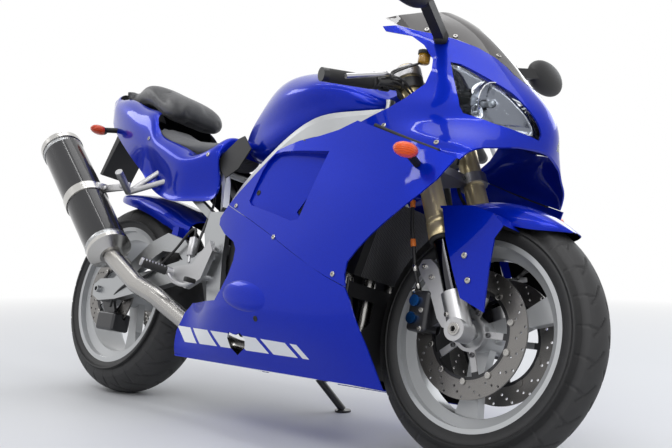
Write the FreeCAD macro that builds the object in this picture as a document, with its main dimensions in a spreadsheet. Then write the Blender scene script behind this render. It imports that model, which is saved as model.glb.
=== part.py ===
import FreeCAD, Part
import math
import os
import re
import Sketcher
from FreeCAD import Placement, Rotation, Vector

# Sport bike, 1:1, modelled upright in its own frame in millimetres:
# X forward, Y to the left, Z up, origin on the ground midway between the axles.
# One placement at the end leans the finished machine onto its side stand.

os.makedirs("parts", exist_ok=True)
doc = FreeCAD.newDocument("SportBike")

# Driving dimensions. Every length of the machine is written once, here.
SIZES = [
    # whole machine
    ("wheelbase", 1395.0), ("overall_width", 695.0), ("overall_height", 1095.0),
    ("rake_degrees", 24.0), ("trail", 92.0), ("lean_degrees", 14.0),
    ("seat_gap", 0.3), ("running_gap", 6.0), ("overrun", 40.0),
    # front wheel
    ("front_tyre_radius", 299.0), ("front_tyre_half_width", 60.0), ("front_crown_radius", 62.0),
    ("front_rim_half_width", 51.0), ("front_hub_half_width", 52.0),
    # rear wheel
    ("rear_tyre_radius", 311.0), ("rear_tyre_half_width", 95.0), ("rear_crown_radius", 102.0),
    ("rear_rim_half_width", 83.0), ("rear_hub_half_width", 70.0),
    # both rims
    ("flange_radius", 232.0), ("bead_radius", 217.0), ("well_radius", 192.0), ("rim_wall", 6.0),
    ("bead_width", 15.0), ("flange_width", 5.0), ("hub_radius", 36.0), ("spoke_depth", 26.0),
    ("spoke_root_width", 52.0), ("spoke_waist_width", 40.0), ("spoke_tip_width", 66.0),
    ("axle_radius", 11.0), ("axle_bore_radius", 7.0),
    # brakes
    ("front_disc_radius", 149.0), ("rear_disc_radius", 122.5), ("disc_band", 41.0),
    ("disc_thickness", 5.0), ("front_disc_offset", 66.0), ("rear_disc_offset", 104.0),
    ("cooling_hole_radius", 3.2), ("carrier_ring_width", 10.0), ("bobbin_radius", 9.0),
    ("bobbin_depth", 9.0),
    ("caliper_length", 96.0), ("caliper_height", 58.0), ("caliper_width", 66.0),
    # fork and steering
    ("fork_half_spacing", 103.0), ("outer_tube_radius", 27.5), ("inner_tube_radius", 20.5),
    ("tube_wall", 2.5), ("fork_tube_top", 712.0), ("fork_tube_bottom", 232.0),
    ("fork_casting_top", 92.0), ("clamp_height", 28.0), ("lower_clamp_at", 432.0),
    ("upper_clamp_at", 676.0), ("stem_radius", 16.0), ("head_tube_radius", 32.0),
    ("bar_radius", 11.1), ("bar_wall", 3.0), ("grip_radius", 17.0), ("grip_length", 122.0),
    # chain drive
    ("chain_pitch", 15.875), ("roller_radius", 5.1), ("plate_half_height", 7.5),
    ("chain_half_width", 8.5), ("chain_offset", 112.0), ("sprocket_thickness", 6.0),
    # panels and tubes
    ("panel_wall", 4.0), ("screen_wall", 3.0), ("header_radius", 19.0), ("mid_pipe_radius", 27.0),
    ("silencer_radius", 67.0), ("silencer_wall", 3.0), ("silencer_cap_length", 34.0),
    ("subframe_tube", 24.0), ("stand_radius", 11.0), ("peg_radius", 12.0),
    # swingarm and frame
    ("arm_offset", 126.0), ("arm_width", 30.0), ("nut_depth", 12.0), ("pivot_radius", 10.0),
    ("pivot_boss_radius", 22.0), ("plate_offset", 158.5), ("plate_width", 16.0),
    ("head_tube_low", 776.0), ("head_tube_high", 932.0), ("neck_height", 60.0), ("neck_width", 26.0),
    # engine, radiator and exhaust
    ("engine_half_width", 150.0), ("clutch_cover_depth", 62.0), ("clutch_cover_radius", 82.0),
    ("generator_cover_depth", 58.0), ("generator_cover_radius", 68.0), ("radiator_half_width", 172.0),
    ("radiator_depth", 36.0), ("radiator_tank", 26.0), ("pipe_wall", 2.0), ("header_bend", 42.0),
    ("mid_pipe_bend", 60.0), ("strap_width", 34.0),
    # tank, tail and lamps
    ("cover_offset", 134.0), ("fuel_cap_radius", 52.0), ("fuel_cap_height", 9.0), ("plate_half", 62.0),
    ("signal_stalk_radius", 9.0), ("signal_radius", 21.0), ("lens_gap", 2.0),
    ("lamp_rear_radius", 28.0), ("lamp_front_radius", 52.0), ("mirror_stalk_width", 26.0),
    ("mirror_half_width", 78.0), ("vent_depth", 34.0), ("vent_rear_depth", 5.0),
    ("bulge_half_length", 100.0),
    ("bulge_depth", 15.0), ("bulge_half_height", 40.0), ("bulge_turn_degrees", 4.0), ("bracket_far", 9.0),
    ("bracket_near", 7.0), ("piston_cap_radius", 14.0), ("hose_radius", 4.5), ("hose_bend", 26.0),
    # steering and controls
    ("clamp_wall", 9.0), ("bar_clamp_at", 640.0), ("bar_end_length", 16.0), ("lever_mount", 52.0),
    ("lever_clamp_width", 22.0), ("lever_radius", 6.5), ("lever_bend", 24.0), ("meter_fillet", 16.0),
    ("meter_tilt_degrees", -20.0), ("fender_gap", 19.0), ("fender_half_width", 78.0),
    ("post_radius", 14.0), ("stay_bend", 30.0), ("caliper_plate", 10.0), ("fender_leg_offset", 130.8),
    ("hanger_radius", 9.0),
    ("stand_foot_height", 6.0), ("stand_foot_radius", 24.0),
]

sheet = doc.addObject("Spreadsheet::Sheet", "Sizes")
for row, (alias, value) in enumerate(SIZES, 1):
    sheet.set("A%d" % row, alias)
    sheet.set("B%d" % row, str(value))
    sheet.setAlias("B%d" % row, alias)
doc.recompute()


def size(alias):
    """Read one driving dimension back from the sheet."""
    return float(sheet.get(alias))


def bound(text):
    """Write a formula of aliases as an expression on the sheet."""
    names = {alias for alias, value in SIZES}
    return re.sub(r"[a-z_]+", lambda word: "Sizes." + word[0] if word[0] in names else word[0], text)


def value_of(text):
    """Work out a formula of aliases as a number."""
    return float(re.sub(r"[^0-9.eE+-].*", "", str(sheet.evalExpression(bound(text)))))


WHEELBASE = size("wheelbase")
WIDTH = size("overall_width")
HEIGHT = size("overall_height")
GAP = size("seat_gap")
WALL = size("panel_wall")
FRONT_AXLE = Vector(WHEELBASE / 2, 0, size("front_tyre_radius"))
REAR_AXLE = Vector(-WHEELBASE / 2, 0, size("rear_tyre_radius"))
RAKE = math.radians(size("rake_degrees"))
STEER_FOOT = Vector(WHEELBASE / 2 + size("trail"), 0, 0)
STEER_AXIS = Vector(-math.sin(RAKE), 0, math.cos(RAKE))
ACROSS = Vector(0, 1, 0)


def at(x_share, y_share, z_share):
    """A point by shares of the wheelbase, the overall width and the overall height."""
    return Vector(x_share * WHEELBASE, y_share * WIDTH, z_share * HEIGHT)


def side(x_share, z_share):
    """A point of a side view, on the centre plane."""
    return at(x_share, 0, z_share)


def on_fork(along, across=0.0):
    """A point on the fork's centre line, a distance above the front axle."""
    return FRONT_AXLE + STEER_AXIS * along + ACROSS * across


# Helpers for the plain Part functions

def prism(outline, low_y, high_y):
    """Extrude a closed side view outline across the machine."""
    wire = Part.makePolygon([Vector(p.x, low_y, p.z) for p in outline + outline[:1]])
    return Part.Face(wire).extrude(ACROSS * (high_y - low_y))


def smooth_prism(outline, low_y, high_y):
    """Extrude a closed, rounded side view outline across the machine."""
    curve = Part.BSplineCurve()
    curve.interpolate([Vector(p.x, low_y, p.z) for p in outline], PeriodicFlag=True)
    return Part.Face(Part.Wire(curve.toShape())).extrude(ACROSS * (high_y - low_y))


def rod(start, end, radius):
    """A round bar between two points."""
    return Part.makeCylinder(radius, start.distanceToPoint(end), start, end - start)


def pipe(start, end, radius, wall):
    """A round tube between two points."""
    return rod(start, end, radius).cut(rod(start, end, radius - wall))


def bent_path(points, radius):
    """Straight runs joined by tangent arcs of one radius."""
    edges = []
    here = points[0]
    for before, corner, after in zip(points, points[1:], points[2:]):
        into = (corner - before).normalize()
        out = (after - corner).normalize()
        half_turn = into.getAngle(out) / 2
        reach = radius * math.tan(half_turn)
        start = corner - into * reach
        end = corner + out * reach
        middle_way = (out - into).normalize()
        middle = corner + middle_way * (radius / math.cos(half_turn) - radius)
        edges.append(Part.LineSegment(here, start).toShape())
        edges.append(Part.Arc(start, middle, end).toShape())
        here = end
    edges.append(Part.LineSegment(here, points[-1]).toShape())
    return Part.Wire(edges)


def bent_rod(points, radius, bend):
    """A round bar along straight runs and arcs."""
    path = bent_path(points, bend)
    ring = Part.Wire(Part.makeCircle(radius, points[0], points[1] - points[0]))
    return path.makePipeShell([ring], True, False)


def bent_pipe(points, radius, wall, bend):
    """A round tube along straight runs and arcs."""
    return bent_rod(points, radius, bend).cut(bent_rod(points, radius - wall, bend))


def box_between(low, high):
    """A box by two opposite corners."""
    return Part.makeBox(high.x - low.x, high.y - low.y, high.z - low.z, low)


def loft(sections):
    """A smooth solid through closed rounded sections."""
    wires = []
    for points in sections:
        curve = Part.BSplineCurve()
        curve.interpolate(points, PeriodicFlag=True)
        wires.append(Part.Wire(curve.toShape()))
    return Part.makeLoft(wires, True, False)


def band(points, wall, normal):
    """A closed strip: an open curve and the same curve moved in by the wall."""
    inner = []
    for index, point in enumerate(points):
        ahead = points[min(index + 1, len(points) - 1)]
        behind = points[max(index - 1, 0)]
        inward = normal.cross((ahead - behind).normalize())
        inner.append(point + inward * wall)
    outer_curve = Part.BSplineCurve()
    outer_curve.interpolate(points)
    inner_curve = Part.BSplineCurve()
    inner_curve.interpolate(inner)
    return Part.Wire([
        outer_curve.toShape(),
        Part.LineSegment(points[-1], inner[-1]).toShape(),
        inner_curve.toShape(),
        Part.LineSegment(inner[0], points[0]).toShape(),
    ])


def skin(sections, wall, normal):
    """A thin moulded shell through open sections."""
    return Part.makeLoft([band(points, wall, normal) for points in sections], True, False)


def mirrored(shape):
    """The same shape on the other side of the machine."""
    return shape.mirror(Vector(0, 0, 0), ACROSS)


def both_sides(shape):
    """A shape and its mirror image as one compound."""
    return Part.makeCompound([shape, mirrored(shape)])


NODES = []


def keep(label, shape):
    """Keep a finished shape as a sub-part with its own label."""
    part = doc.addObject("Part::Feature", label)
    part.Label = label
    part.Shape = shape
    NODES.append(part)
    return part


def made(label):
    """The shape of a sub-part that is already made."""
    return doc.getObject(label).Shape


def seated(shape, labels):
    """Trim a shape so that it only touches the sub-parts it is fixed to."""
    for label in labels:
        shape = shape.cut(made(label))
    return shape


def biggest(shape):
    """The largest solid of a shape."""
    return max(shape.Solids, key=lambda solid: solid.Volume)


# Helpers for sketches and bodies bound to the sheet

def start_body(label):
    """A PartDesign body that will be exported under its label."""
    body = doc.addObject("PartDesign::Body", label)
    body.Label = label
    return body


def origin_of(body, role):
    """One of a body's own origin planes or axes."""
    return [item for item in body.Origin.OriginFeatures if item.Role == role][0]


def outline_sketch(body, name, plane, corners):
    """A closed sketch whose corners are formulas of the sheet's sizes."""
    sketch = body.newObject("Sketcher::SketchObject", name)
    sketch.AttachmentSupport = [(origin_of(body, plane), "")]
    sketch.MapMode = "FlatFace"
    places = [Vector(value_of(a), value_of(b), 0) for a, b in corners]
    for start, end in zip(places, places[1:] + places[:1]):
        sketch.addGeometry(Part.LineSegment(start, end))
    count = len(corners)
    for index in range(count):
        sketch.addConstraint(Sketcher.Constraint("Coincident", index, 2, (index + 1) % count, 1))
    for index, formulas in enumerate(corners):
        for kind, formula, place in zip(("DistanceX", "DistanceY"), formulas, places[index]):
            number = sketch.addConstraint(Sketcher.Constraint(kind, -1, 1, index, 1, place))
            sketch.setExpression("Constraints[%d]" % number, bound(formula))
    return sketch


def circle_sketch(body, name, plane, circles):
    """A sketch of circles: centre and radius as formulas."""
    sketch = body.newObject("Sketcher::SketchObject", name)
    sketch.AttachmentSupport = [(origin_of(body, plane), "")]
    sketch.MapMode = "FlatFace"
    for index, formulas in enumerate(circles):
        across, up, radius = [value_of(formula) for formula in formulas]
        sketch.addGeometry(Part.Circle(Vector(across, up, 0), Vector(0, 0, 1), radius))
        for kind, formula, place in zip(("DistanceX", "DistanceY"), formulas, (across, up)):
            number = sketch.addConstraint(Sketcher.Constraint(kind, -1, 1, index, 3, place))
            sketch.setExpression("Constraints[%d]" % number, bound(formula))
        number = sketch.addConstraint(Sketcher.Constraint("Radius", index, radius))
        sketch.setExpression("Constraints[%d]" % number, bound(formulas[2]))
    return sketch


def revolve(body, sketch, name):
    """Turn a sketch of the YZ plane about the wheel's axle line."""
    feature = body.newObject("PartDesign::Revolution", name)
    feature.Profile = sketch
    feature.ReferenceAxis = (sketch, ["H_Axis"])
    feature.Angle = 360
    return feature


def pad(body, sketch, name, length, midplane=True):
    """Pad a sketch by a formula."""
    feature = body.newObject("PartDesign::Pad", name)
    feature.Profile = sketch
    feature.Midplane = midplane
    feature.setExpression("Length", bound(length))
    return feature


def around_axle(body, features, name, count):
    """Repeat features around the wheel's axle line."""
    pattern = body.newObject("PartDesign::PolarPattern", name)
    pattern.Originals = features
    pattern.Axis = (origin_of(body, "Y_Axis"), [""])
    pattern.Angle = 360
    pattern.Occurrences = count
    body.Tip = pattern
    return pattern


# Wheels

def make_tyre(label, end, axle):
    """A tyre as one closed ring that seats on its rim, with an arched crown."""
    radius = size(end + "_tyre_radius")
    half = size(end + "_tyre_half_width")
    crown = size(end + "_crown_radius")
    seat = size(end + "_rim_half_width") - size("flange_width") - GAP
    bead = size("bead_radius") + GAP
    edge = radius - crown + math.sqrt(crown ** 2 - half ** 2)
    lip = size("flange_radius") + GAP
    rim = size(end + "_rim_half_width")
    top = Part.Arc(Vector(0, -half, edge), Vector(0, 0, radius), Vector(0, half, edge))
    bulge_share = 0.97
    waist = (lip + edge) / 2
    lines = [top.toShape()]
    for way in (1, -1):
        wall = Part.Arc(
            Vector(0, way * half, edge), Vector(0, way * half * bulge_share, waist),
            Vector(0, way * rim, lip))
        lines.append(wall.toShape())
        lines.append(Part.LineSegment(Vector(0, way * rim, lip), Vector(0, way * seat, lip)).toShape())
        lines.append(Part.LineSegment(Vector(0, way * seat, lip), Vector(0, way * seat, bead)).toShape())
    lines.append(Part.LineSegment(Vector(0, seat, bead), Vector(0, -seat, bead)).toShape())
    ring = Part.Face(Part.Wire(Part.sortEdges(lines)[0])).revolve(Vector(0, 0, 0), ACROSS, 360)
    tyre = keep(label, ring)
    tyre.Placement = Placement(axle, Rotation())


def make_rim(label, end, axle):
    """A cast rim: barrel with flanges, hub and three hollow-looking spokes."""
    body = start_body(label)
    half = end + "_rim_half_width"
    hub = end + "_hub_half_width"
    inner = "well_radius - rim_wall"
    profile = [
        ("-" + half, "flange_radius"), (half + "*-1 + flange_width", "flange_radius"),
        (half + "*-1 + flange_width", "bead_radius"),
        (half + "*-1 + flange_width + bead_width", "bead_radius"),
        (half + "*-1 + flange_width + bead_width*1.6", "well_radius"),
        (half + " - flange_width - bead_width*1.6", "well_radius"),
        (half + " - flange_width - bead_width", "bead_radius"),
        (half + " - flange_width", "bead_radius"),
        (half + " - flange_width", "flange_radius"), (half, "flange_radius"),
        (half, "bead_radius - rim_wall"), (half + " - flange_width - bead_width", "bead_radius - rim_wall"),
        (half + " - flange_width - bead_width*1.6", inner),
        (half + "*-1 + flange_width + bead_width*1.6", inner),
        (half + "*-1 + flange_width + bead_width", "bead_radius - rim_wall"),
        ("-" + half, "bead_radius - rim_wall"),
    ]
    revolve(body, outline_sketch(body, label + "_barrel_line", "YZ_Plane", profile), label + "_barrel")
    spoke = [
        ("hub_radius*0.5", "spoke_root_width*-0.5"), ("well_radius*0.62", "spoke_waist_width*-0.5"),
        ("well_radius - rim_wall*0.5", "spoke_tip_width*-0.5"),
        ("well_radius - rim_wall*0.5", "spoke_tip_width*0.5"),
        ("well_radius*0.62", "spoke_waist_width*0.5"), ("hub_radius*0.5", "spoke_root_width*0.5"),
    ]
    arm = pad(body, outline_sketch(body, label + "_spoke_line", "XZ_Plane", spoke), label + "_spoke",
              "spoke_depth")
    around_axle(body, [arm], label + "_spokes", 3)
    doc.recompute()
    centre = [
        ("-" + hub, "axle_radius + seat_gap"), (hub, "axle_radius + seat_gap"),
        (hub, "hub_radius"), ("-" + hub, "hub_radius"),
    ]
    tip = revolve(body, outline_sketch(body, label + "_hub_line", "YZ_Plane", centre), label + "_hub")
    body.Tip = tip
    bore = body.newObject("PartDesign::Pocket", label + "_bore")
    bore.Profile = circle_sketch(body, label + "_bore_line", "XZ_Plane",
                                 [("0", "0", "axle_radius + seat_gap")])
    bore.Midplane = True
    bore.setExpression("Length", bound(hub + "*4"))
    body.Tip = bore
    body.Placement = Placement(axle, Rotation(ACROSS, size_free_turn(end)))
    NODES.append(body)


SPOKE_TURN_DEGREES = {"front": -25.0, "rear": -40.0}


def size_free_turn(end):
    """How far a wheel has rolled, as the spokes show it."""
    return SPOKE_TURN_DEGREES[end]


BOBBINS = 10
CARRIER_ARMS = 5


def ring_line(radius, middle=Vector(0, 0, 0)):
    """A round wire across the machine."""
    return Part.Wire([Part.makeCircle(radius, middle, ACROSS)])


def drilled_ring(outer, inner, thick, base):
    """The braking ring, with slanted rows of cooling holes, extruded from one drilled face."""
    wires = [ring_line(outer, base), ring_line(inner, base)]
    count = len(HOLE_SHARES)
    for row in range(HOLE_ROWS):
        for index, share in enumerate(HOLE_SHARES):
            turn = 2 * math.pi * (row + index / count * HOLE_SLANT) / HOLE_ROWS
            reach = inner + (outer - inner) * share
            spot = base + Vector(reach * math.cos(turn), 0, reach * math.sin(turn))
            wires.append(ring_line(size("cooling_hole_radius"), spot))
    return Part.makeFace(wires, "Part::FaceMakerBullseye").extrude(ACROSS * thick)


HOLE_ROWS = 18
HOLE_SHARES = (0.34, 0.6, 0.86)
HOLE_SLANT = 0.8


def disc_shape(radius, offset, hub_reach):
    """A floating brake disc: braking ring, bobbins, and a spider bolted to the hub."""
    band_width = size("disc_band")
    thick = size("disc_thickness")
    base = Vector(0, offset - thick / 2, 0)
    depth = ACROSS
    bobbin = size("bobbin_radius")
    inner = radius - band_width
    ring = drilled_ring(radius, inner, thick, base)
    spider_outer = inner - GAP
    spider = Part.makeCylinder(spider_outer, thick, base, depth).cut(
        Part.makeCylinder(spider_outer - size("carrier_ring_width"), thick, base, depth))
    reach = spider_outer - size("carrier_ring_width") / 2
    arm_width = size("carrier_ring_width") * 1.5
    for index in range(CARRIER_ARMS):
        arm = Part.makeBox(reach, thick, arm_width, Vector(0, offset - thick / 2, -arm_width / 2))
        arm.rotate(Vector(0, 0, 0), ACROSS, 360.0 * index / CARRIER_ARMS)
        spider = spider.fuse(arm)
    low, high = sorted((hub_reach, offset + math.copysign(thick / 2, offset)))
    boss = size("hub_radius") * 1.15
    spider = spider.fuse(Part.makeCylinder(boss, high - low, Vector(0, low, 0), depth))
    spider = spider.cut(Part.makeCylinder(boss * 0.8, size("overrun") * 9, Vector(0, -WIDTH / 4, 0), depth))
    joined = ring.fuse(spider)
    for index in range(BOBBINS):
        turn = 2 * math.pi * (index + 0.5) / BOBBINS
        spot = Vector(inner * math.cos(turn), offset - size("bobbin_depth") / 2, inner * math.sin(turn))
        joined = joined.fuse(Part.makeCylinder(bobbin, size("bobbin_depth"), spot, depth))
    return joined.removeSplitter()


def make_discs():
    """Two front discs that share a node, and the rear disc."""
    offset = size("front_disc_offset")
    hub = size("front_hub_half_width") + GAP
    right = disc_shape(size("front_disc_radius"), -offset, -hub)
    discs = keep("front_discs", both_sides(right))
    discs.Placement = Placement(FRONT_AXLE, Rotation())
    rear = disc_shape(size("rear_disc_radius"), -size("rear_disc_offset"),
                      -size("rear_hub_half_width") - GAP)
    disc = keep("rear_disc", rear)
    disc.Placement = Placement(REAR_AXLE, Rotation())


def axle_tube(place, reach):
    """A hollow axle across the machine."""
    return pipe(place - ACROSS * reach, place + ACROSS * reach, size("axle_radius"),
                size("axle_radius") - size("axle_bore_radius"))


# Chain drive

REAR_TEETH = 43
FRONT_TEETH = 16


def pitch_radius(teeth):
    """The radius of the circle that the chain's rollers follow."""
    return size("chain_pitch") / (2 * math.sin(math.pi / teeth))


def front_sprocket_place():
    return side(*output_shaft_share)


def chain_loop():
    """The pins' places round both sprockets, one link apart, as (point, normal) pairs."""
    back, front = REAR_AXLE, front_sprocket_place()
    big, small = pitch_radius(REAR_TEETH), pitch_radius(FRONT_TEETH)
    reach = front.distanceToPoint(back)
    line = math.atan2(front.z - back.z, front.x - back.x)
    lean = math.acos((big - small) / reach)
    top, low = line + lean, line - lean
    straight = math.sqrt(reach ** 2 - (big - small) ** 2)
    big_arc = big * (2 * math.pi - 2 * lean)
    small_arc = small * 2 * lean
    total = 2 * straight + big_arc + small_arc
    links = 2 * round(total / size("chain_pitch") / 2)
    pins = []
    for index in range(2 * links):
        run = total * index / (2 * links)
        if run < straight:
            turn = top
            start = back + Vector(math.cos(top), 0, math.sin(top)) * big
            way = Vector(math.sin(top), 0, -math.cos(top))
            spot = start + way * run
        elif run < straight + small_arc:
            turn = top - (run - straight) / small
            spot = front + Vector(math.cos(turn), 0, math.sin(turn)) * small
        elif run < 2 * straight + small_arc:
            turn = low
            start = front + Vector(math.cos(low), 0, math.sin(low)) * small
            way = Vector(math.sin(low), 0, -math.cos(low))
            spot = start + way * (run - straight - small_arc)
        else:
            turn = low - (run - 2 * straight - small_arc) / big
            spot = back + Vector(math.cos(turn), 0, math.sin(turn)) * big
        pins.append((spot, Vector(math.cos(turn), 0, math.sin(turn))))
    return pins


def make_chain():
    """The chain as one closed loop with its links in the outline."""
    waist_share = 0.72
    half = size("plate_half_height")
    outer, inner = [], []
    for index, (spot, out) in enumerate(chain_loop()):
        height = half * (waist_share if index % 2 else 1)
        outer.append(spot + out * height)
        inner.append(spot - out * height)
    low = size("chain_offset") - size("chain_half_width")
    wide = 2 * size("chain_half_width")
    rim = Part.Face(Part.makePolygon(outer + outer[:1]))
    hole = Part.Face(Part.makePolygon(inner + inner[:1]))
    loop = rim.cut(hole)
    loop.translate(ACROSS * low)
    keep("drive_chain", loop.extrude(ACROSS * wide))


def sprocket_shape(teeth, bore_radius):
    """A toothed disc whose tips stay just inside the rollers."""
    tip = pitch_radius(teeth) - size("plate_half_height") - GAP * 4
    root_share = 0.96
    points = []
    for index in range(2 * teeth):
        turn = math.pi * index / teeth
        radius = tip * (root_share if index % 2 else 1)
        points.append(Vector(radius * math.cos(turn), 0, radius * math.sin(turn)))
    blank = Part.Face(Part.makePolygon(points + points[:1])).extrude(ACROSS * size("sprocket_thickness"))
    return blank.cut(rod(Vector(0, -GAP, 0), ACROSS * size("overrun"), bore_radius))


def make_sprockets():
    """The rear sprocket with its carrier, and the small one on the output shaft."""
    thick = size("sprocket_thickness")
    offset = size("chain_offset") - thick / 2
    blank = sprocket_shape(REAR_TEETH, size("axle_radius") + GAP)
    blank.translate(ACROSS * offset)
    window_share = 0.66
    for index in range(5):
        turn = 2 * math.pi * index / 5
        reach = pitch_radius(REAR_TEETH) * window_share
        spot = Vector(reach * math.cos(turn), 0, reach * math.sin(turn))
        blank = blank.cut(rod(spot, spot + ACROSS * WIDTH, size("hub_radius") / 2))
    start = size("rear_hub_half_width") + GAP
    carrier = pipe(ACROSS * start, ACROSS * offset, size("hub_radius") * 1.5,
                   size("hub_radius") * 1.5 - size("axle_radius") - GAP)
    big = keep("rear_sprocket", blank.fuse(carrier))
    big.Placement = Placement(REAR_AXLE, Rotation())


def front_sprocket():
    """The small sprocket on the engine's output shaft."""
    small = sprocket_shape(FRONT_TEETH, size("axle_radius"))
    inward = size("chain_offset") - size("sprocket_thickness") / 2
    small.translate(front_sprocket_place() + ACROSS * inward)
    return small


# Swingarm and rear end

output_shaft_share = (-0.052, 0.395)
pivot_share = (-0.092, 0.388)


def make_swingarm():
    """A braced alloy swingarm: two tapered arms, a cross box, an arched brace and axle ends."""
    offset = size("arm_offset")
    width = size("arm_width")
    pivot = side(*pivot_share)
    arm_outline = [side(*share) for share in arm_shares]
    right = prism(arm_outline, -offset - width, -offset)
    brace_outline = [side(*share) for share in brace_shares]
    brace = prism(brace_outline, -offset - width * 0.9, -offset - width * 0.1)
    right = right.fuse(brace)
    left = mirrored(right)
    low, high = cross_shares
    box = box_between(Vector(side(*low).x, -offset - GAP, side(*low).z),
                      Vector(side(*high).x, offset + GAP, side(*high).z))
    hub = rod(pivot - ACROSS * (offset + width), pivot + ACROSS * (offset + width),
              size("pivot_boss_radius"))
    reach = link_half_share * WIDTH
    link = prism([side(*share) for share in link_shares], -reach, reach)
    body = right.fuse([left, box, hub, link])
    body = body.cut(rod(REAR_AXLE - ACROSS * WIDTH, REAR_AXLE + ACROSS * WIDTH, size("axle_radius") + GAP))
    body = body.cut(rod(pivot - ACROSS * WIDTH, pivot + ACROSS * WIDTH, size("pivot_radius") + GAP))
    axle = axle_tube(REAR_AXLE, offset + width + size("nut_depth"))
    keep("swingarm", Part.makeCompound([body.removeSplitter(), axle]))


arm_shares = [
    (-0.076, 0.427), (-0.072, 0.402), (-0.077, 0.365), (-0.143, 0.347), (-0.301, 0.297),
    (-0.43, 0.26), (-0.495, 0.251), (-0.522, 0.265), (-0.525, 0.297), (-0.502, 0.315),
    (-0.43, 0.321), (-0.301, 0.352), (-0.172, 0.395), (-0.108, 0.438),
]
brace_shares = [
    (-0.165, 0.388), (-0.215, 0.438), (-0.28, 0.457), (-0.337, 0.429), (-0.401, 0.365),
    (-0.459, 0.315), (-0.401, 0.315), (-0.344, 0.365), (-0.287, 0.406), (-0.229, 0.402),
    (-0.201, 0.374),
]
cross_shares = [(-0.247, 0.342), (-0.169, 0.388)]
link_shares = [
    (-0.247, 0.343), (-0.208, 0.248), (-0.118, 0.248), (-0.118, 0.265), (-0.197, 0.265),
    (-0.215, 0.343),
]
link_half_share = 0.037


# Frame

spar_stations = [
    # centre, half height and half width of the twin spar, from head to pivot
    ((0.326, -0.223, 0.731), 0.014, 0.013),
    ((0.287, -0.229, 0.721), 0.03, 0.019),
    ((0.229, -0.243, 0.71), 0.039, 0.023),
    ((0.158, -0.253, 0.696), 0.046, 0.026),
    ((0.086, -0.247, 0.658), 0.044, 0.026),
    ((0.014, -0.236, 0.598), 0.04, 0.024),
    ((-0.043, -0.224, 0.539), 0.037, 0.023),
    ((-0.085, -0.216, 0.479), 0.037, 0.022),
]


def spar_shape():
    """One twin-spar beam: rounded boxes along a path from the head to the pivot plate."""
    centres = [at(*place) for place, tall, wide in spar_stations]
    sections = []
    corner_share = 0.62
    for index, (place, tall, wide) in enumerate(spar_stations):
        ahead = centres[max(index - 1, 0)]
        behind = centres[min(index + 1, len(centres) - 1)]
        along = (behind - ahead).normalize()
        outward = ACROSS * -1
        outward = (outward - along * outward.dot(along)).normalize()
        up = outward.cross(along)
        half_tall = tall * HEIGHT
        half_wide = wide * WIDTH
        ring = []
        for across, rise in ((1, -corner_share), (1, corner_share), (corner_share, 1), (-corner_share, 1),
                             (-1, corner_share), (-1, -corner_share), (-corner_share, -1),
                             (corner_share, -1)):
            ring.append(centres[index] + outward * half_wide * across + up * half_tall * rise)
        sections.append(Part.makePolygon(ring + ring[:1]))
    return Part.makeLoft(sections, True, False)


plate_shares = [
    (-0.129, 0.511), (-0.086, 0.511), (-0.068, 0.457), (-0.063, 0.384), (-0.052, 0.311),
    (-0.043, 0.274), (-0.085, 0.274), (-0.1, 0.329), (-0.118, 0.393), (-0.136, 0.457),
]


def make_frame(bracket):
    """The twin-spar frame: head tube, two spars, pivot plates and cross tubes."""
    spar = spar_shape()
    plate = prism([side(*share) for share in plate_shares], -size("plate_offset") - size("plate_width"),
                  -size("plate_offset"))
    right = spar.fuse(plate)
    head_low = STEER_FOOT + STEER_AXIS * size("head_tube_low")
    head_high = STEER_FOOT + STEER_AXIS * size("head_tube_high")
    head = rod(head_low, head_high, size("head_tube_radius"))
    centre = [at(*place) for place, tall, wide in spar_stations]
    neck = []
    for share in neck_shares:
        neck.append(at(*share))
    arm = loft_boxes(neck, size("neck_height") / 2, size("neck_width") / 2)
    cross_low = side(*low_cross_share)
    cross_high = side(*high_cross_share)
    reach = size("plate_offset") + size("plate_width") / 2
    tube = size("subframe_tube")
    ties = [rod(spot - ACROSS * reach, spot + ACROSS * reach, tube / 2) for spot in (cross_low, cross_high)]
    posts = [rod(at(x, y, low), at(x, y, high), size("post_radius"))
             for x, low, high in tank_post_shares for y in (-tank_post_half_share, tank_post_half_share)]
    posts = [biggest(seated(post, ["fuel_tank"])) for post in posts]
    frame = right.fuse([mirrored(right), head, arm, mirrored(arm), bracket] + ties + posts)
    frame = frame.cut(rod(head_low - STEER_AXIS * WALL, head_high + STEER_AXIS * WALL,
                          size("stem_radius") + GAP))
    pivot = side(*pivot_share)
    frame = frame.cut(rod(pivot - ACROSS * WIDTH, pivot + ACROSS * WIDTH, size("pivot_radius") + GAP))
    frame = frame.cut(rod(pivot - ACROSS * size("plate_offset"), pivot + ACROSS * size("plate_offset"),
                          size("pivot_boss_radius") + GAP))
    pin = pipe(pivot - ACROSS * (reach + size("nut_depth")), pivot + ACROSS * (reach + size("nut_depth")),
               size("pivot_radius"), size("pivot_radius") / 2)
    keep("main_frame", Part.makeCompound([frame, pin]))


neck_shares = [
    (0.294, -0.029, 0.716), (0.267, -0.101, 0.716), (0.241, -0.187, 0.712),
    (0.221, -0.237, 0.711),
]
tank_post_shares = [(0.241, 0.726, 0.808)]
tank_post_half_share = 0.095
low_cross_share = (-0.065, 0.301)
high_cross_share = (-0.119, 0.498)


def loft_boxes(centres, half_height, half_width):
    """A rectangular beam through points, kept level."""
    sections = []
    for index, centre in enumerate(centres):
        ahead = centres[min(index + 1, len(centres) - 1)]
        behind = centres[max(index - 1, 0)]
        along = (ahead - behind).normalize()
        up = Vector(0, 0, 1)
        up = (up - along * up.dot(along)).normalize()
        wide = along.cross(up)
        ring = [centre + wide * half_width * a + up * half_height * b
                for a, b in ((1, 1), (-1, 1), (-1, -1), (1, -1))]
        sections.append(Part.makePolygon(ring + ring[:1]))
    return Part.makeLoft(sections, True, True)


# Engine, cooling and exhaust

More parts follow.
